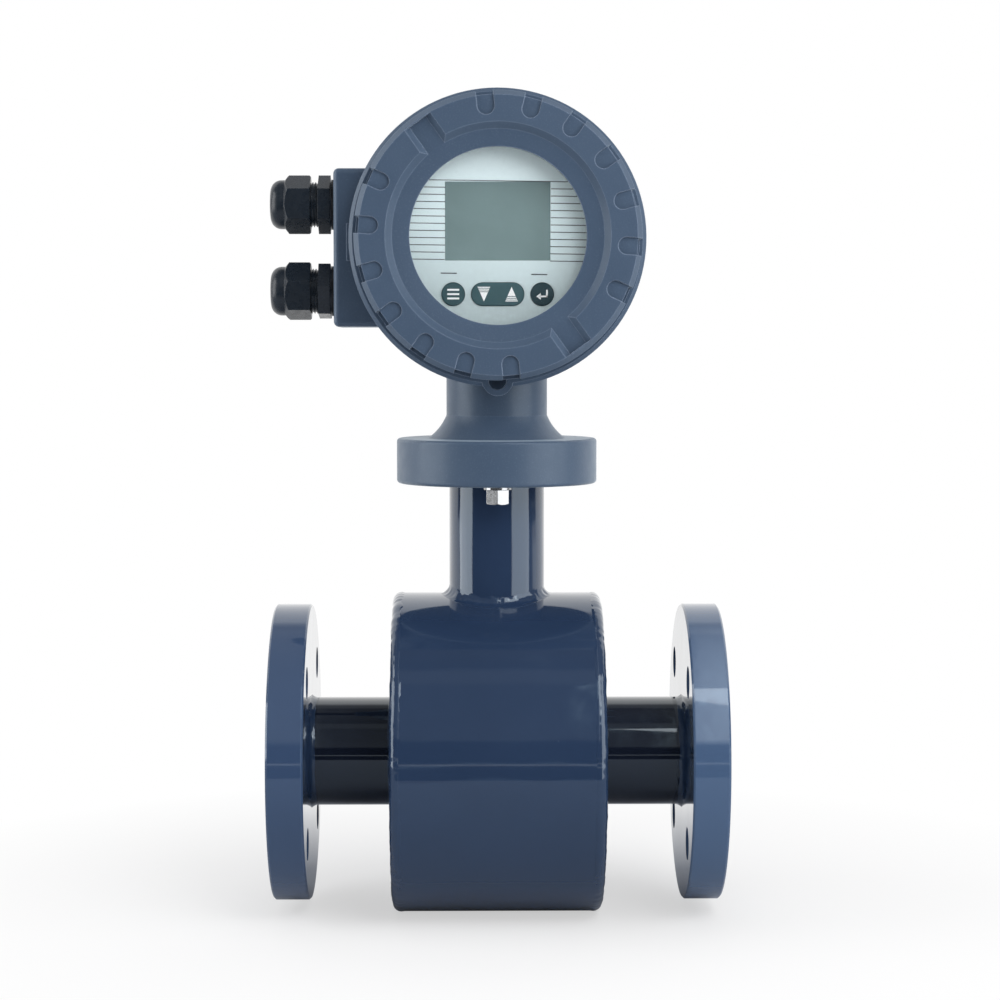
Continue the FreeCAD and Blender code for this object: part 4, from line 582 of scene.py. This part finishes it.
neck_foot = saddle_line(NECK_RADIUS, DRUM_RADIUS)
fillet_bead("neck_bead", neck_foot, size=5.6, ripple=0.85, reach=27, seed=4.4, node="neck_weld")

for level, height in GLAND_HEIGHTS.items():
    helix_thread(f"{level}_gland_thread", height)


# ---------------------------------------------------------------- face plate

ticks = []
for side in (-1, 1):
    for count in range(TICK_COUNT):
        height = LCD_CENTRE + LCD_HALF_HEIGHT + 0.4 - count * TICK_PITCH
        reach = math.sqrt(PLATE_RADIUS**2 - (height - HEAD_AXIS) ** 2)
        start = LCD_HALF_WIDTH if count else 0.0
        ticks.append(stroke(side * start, height, side * reach, height, TICK_WIDTH))
dash_height = KEY_HEIGHT + DASH_RISE
dashes = [
    stroke(start, dash_height, start + DASH_LENGTH, dash_height, DASH_WIDTH) for start in DASH_STARTS
]
slab(
    "plate_lines",
    turned_print(ticks + dashes),
    PLATE_FRONT - 0.06,
    PLATE_FRONT + 0.1,
    "meter",
    "plate_print",
    PRINT_INK,
)


def arrow(x, way):
    """A large triangle, pointing up or down, whose broad end is sliced into three bars."""
    tip, width = 3.9, 3.4
    loops = []
    for start, end in ((-3.9, -3.35), (-2.95, -2.4), (-2.0, -1.45), (-1.05, 3.9)):
        near = width * (tip - start) / (2 * tip)
        far = width * (tip - end) / (2 * tip)
        low, high = KEY_HEIGHT + way * start, KEY_HEIGHT + way * end
        loop = [(x - near, low), (x + near, low), (x + far, high)]
        if far:
            loop.append((x - far, high))
        loops.append(loop if way > 0 else loop[::-1])
    return loops


rocker_marks = arrow(-ROCKER_ARROWS, -1) + arrow(ROCKER_ARROWS, 1)
function_marks = [
    stroke(-27.0, KEY_HEIGHT + step, -20.6, KEY_HEIGHT + step, 1.0) for step in (-2.3, 0.0, 2.3)
]
enter_marks = [
    stroke(22.2, KEY_HEIGHT - 1.2, 26.7, KEY_HEIGHT - 1.2, 0.9),
    stroke(26.3, KEY_HEIGHT - 1.6, 26.3, KEY_HEIGHT + 2.4, 0.9),
    [(20.6, KEY_HEIGHT - 1.2), (23.0, KEY_HEIGHT - 3.0), (23.0, KEY_HEIGHT + 0.6)],
]
for name, loops, body in (
    ("rocker_marks", rocker_marks, "rocker_key"),
    ("function_marks", function_marks, "function_key"),
    ("enter_marks", enter_marks, "enter_key"),
):
    slab(name, loops, KEY_FACE - 0.05, KEY_FACE + 0.1, body, "key_rubber", PALE_INK)


# ---------------------------------------------------------------- studio


def stage_floor():
    """A pale table top: it keeps the object's shadow and turns plain white away from it."""
    side, front, back = 3.0, -0.51, 3.0
    level = FLOOR_HEIGHT * MM
    mesh = bpy.data.meshes.new("studio_floor")
    mesh.from_pydata(
        [(-side, front, level), (side, front, level), (side, back, level), (-side, back, level)],
        [],
        [(0, 1, 2, 3)],
    )
    floor = bpy.data.objects.new("studio_floor", mesh)
    bpy.context.scene.collection.objects.link(floor)
    material = bpy.data.materials.new("studio_floor")
    table = Graph(material)
    path = table.nodes.new("ShaderNodeLightPath")
    shader = table.nodes["Principled BSDF"]
    # Painted shade: in reflections the table turns a darker grey, standing in for the shadow on it near
    # the object.
    tone = table.mix((0.86, 0.86, 0.86), (0.36, 0.38, 0.42), path.outputs["Is Glossy Ray"])
    table.links.new(tone, shader.inputs["Base Color"])
    shader.inputs["Roughness"].default_value = 0.9
    shader.inputs["Specular IOR Level"].default_value = 0.0
    glow = table.nodes.new("ShaderNodeEmission")
    glow.inputs["Color"].default_value = (*WHITE, 1)
    place = table.nodes.new("ShaderNodeTexCoord").outputs["Object"]
    reach = table.nodes.new("ShaderNodeVectorMath")
    reach.operation = "LENGTH"
    table.links.new(place, reach.inputs[0])
    outwards = table.spread(reach.outputs["Value"], 0.16, 0.42, 0.55, 1.0)
    behind = table.spread(table.parts(place)[1], 0.10, 0.30, 0.0, 1.0)
    share = table.maths("MULTIPLY", behind, path.outputs["Is Glossy Ray"])
    share = table.maths("MAXIMUM", share, path.outputs["Is Camera Ray"])
    share = table.maths("MULTIPLY", share, outwards)
    blend = table.nodes.new("ShaderNodeMixShader")
    table.links.new(share, blend.inputs["Fac"])
    table.links.new(shader.outputs["BSDF"], blend.inputs[1])
    table.links.new(glow.outputs["Emission"], blend.inputs[2])
    table.links.new(blend.outputs["Shader"], table.nodes["Material Output"].inputs["Surface"])
    mesh.materials.append(material)


# What the gloss sees of the room: (place, level), where place is half of 1 + the sine of the height
# above the horizon. A dark band with one thin bright streak lies round the horizon.
ROOM_LEVELS = (
    (0.00, 0.40),
    (0.27, 0.40),
    (0.29, 0.02),
    (0.484, 0.02),
    (0.489, 1.10),
    (0.494, 1.10),
    (0.499, 0.02),
    (0.630, 0.02),
    (0.645, 0.20),
    (0.915, 0.16),
    (0.925, 0.26),
    (0.960, 0.26),
    (0.970, 0.10),
    (1.00, 0.14),
)


def studio_world():
    """White for the camera, grey for ambient light, and bright panels round a dark room for gloss."""
    world = bpy.data.worlds.new("studio")
    sky = Graph(world)
    path = sky.nodes.new("ShaderNodeLightPath")
    x, y, z = sky.parts(sky.nodes.new("ShaderNodeTexCoord").outputs["Generated"])

    room = sky.nodes.new("ShaderNodeValToRGB")
    ramp = room.color_ramp
    for index, (place, level) in enumerate(ROOM_LEVELS):
        stop = ramp.elements[index] if index < 2 else ramp.elements.new(place)
        stop.position = place
        stop.color = (level, level * 1.02, level * 1.05, 1)
    sky.links.new(sky.spread(z, -1.0, 1.0, 0.0, 1.0), room.inputs["Fac"])

    upper = sky.spread(z, 0.22, 0.30, 0.0, 1.0)
    forward = sky.spread(y, 0.40, 0.62, 1.0, 0.0)
    right_panel = sky.maths(
        "MULTIPLY",
        upper,
        forward,
        sky.spread(x, 0.085, 0.092, 0.0, 1.0),
        sky.spread(x, 0.125, 0.14, 1.0, 0.0),
        sky.spread(y, -0.45, 0.30, 1.0, 0.35),
    )
    left_panel = sky.maths(
        "MULTIPLY",
        upper,
        forward,
        sky.spread(x, -0.068, -0.060, 1.0, 0.0),
        sky.spread(x, -0.12, -0.10, 0.0, 1.0),
    )
    backdrop = sky.maths(
        "MULTIPLY", sky.spread(y, 0.28, 0.36, 0.0, 1.0), sky.spread(z, 0.78, 0.86, 1.0, 0.0)
    )
    gloss = sky.mix(room.outputs["Color"], (2.3, 2.35, 2.4), right_panel)
    gloss = sky.mix(gloss, (0.45, 0.46, 0.48), left_panel)
    gloss = sky.mix(gloss, WHITE, backdrop)

    seen = sky.mix((0.55, 0.55, 0.56), gloss, path.outputs["Is Glossy Ray"])
    clear = sky.maths("MAXIMUM", path.outputs["Is Camera Ray"], path.outputs["Is Transmission Ray"])
    sky.links.new(sky.mix(seen, WHITE, clear), sky.nodes["Background"].inputs["Color"])
    bpy.context.scene.world = world


def softbox(name, place, target, width, height, radiance, mirrored=True):
    """A rectangular area lamp out of the picture, which the paint mirrors or only feels."""
    data = bpy.data.lights.new(name, "AREA")
    data.shape = "RECTANGLE"
    data.size = width
    data.size_y = height
    data.energy = radiance * math.pi * width * height
    lamp = bpy.data.objects.new(name, data)
    lamp.location = place
    lamp.rotation_euler = (Vector(target) - Vector(place)).to_track_quat("-Z", "Y").to_euler()
    lamp.visible_camera = False
    lamp.visible_glossy = mirrored
    bpy.context.scene.collection.objects.link(lamp)


def photo_camera():
    """The camera at the photograph's angle."""
    data = bpy.data.cameras.new("camera")
    data.lens = 88.16
    data.sensor_width = 36.0
    camera = bpy.data.objects.new("camera", data)
    camera.location = (-0.01462, -1.3654, 0.22696)
    camera.rotation_euler = Euler((math.radians(86.40), 0, math.radians(-0.69)))
    bpy.context.scene.collection.objects.link(camera)
    bpy.context.scene.camera = camera


stage_floor()
studio_world()
softbox("key_right", (1.37, -0.82, 0.6), (0, 0, 0.6), width=1.42, height=1.8, radiance=2.4)
softbox("fill_left", (-1.58, -0.26, 0.6), (0, 0, 0.6), width=1.13, height=1.8, radiance=3.0)
softbox("top_right", (0.62, -1.1, 1.25), (0.05, 0, 0), width=0.76, height=0.7, radiance=3.4)
softbox(
    "front_right",
    (0.24, -0.80, 0.56),
    (0, -0.07, 0.285),
    width=0.30,
    height=0.30,
    radiance=6.0,
    mirrored=False,
)
photo_camera()
bpy.context.scene.view_settings.view_transform = "Standard"
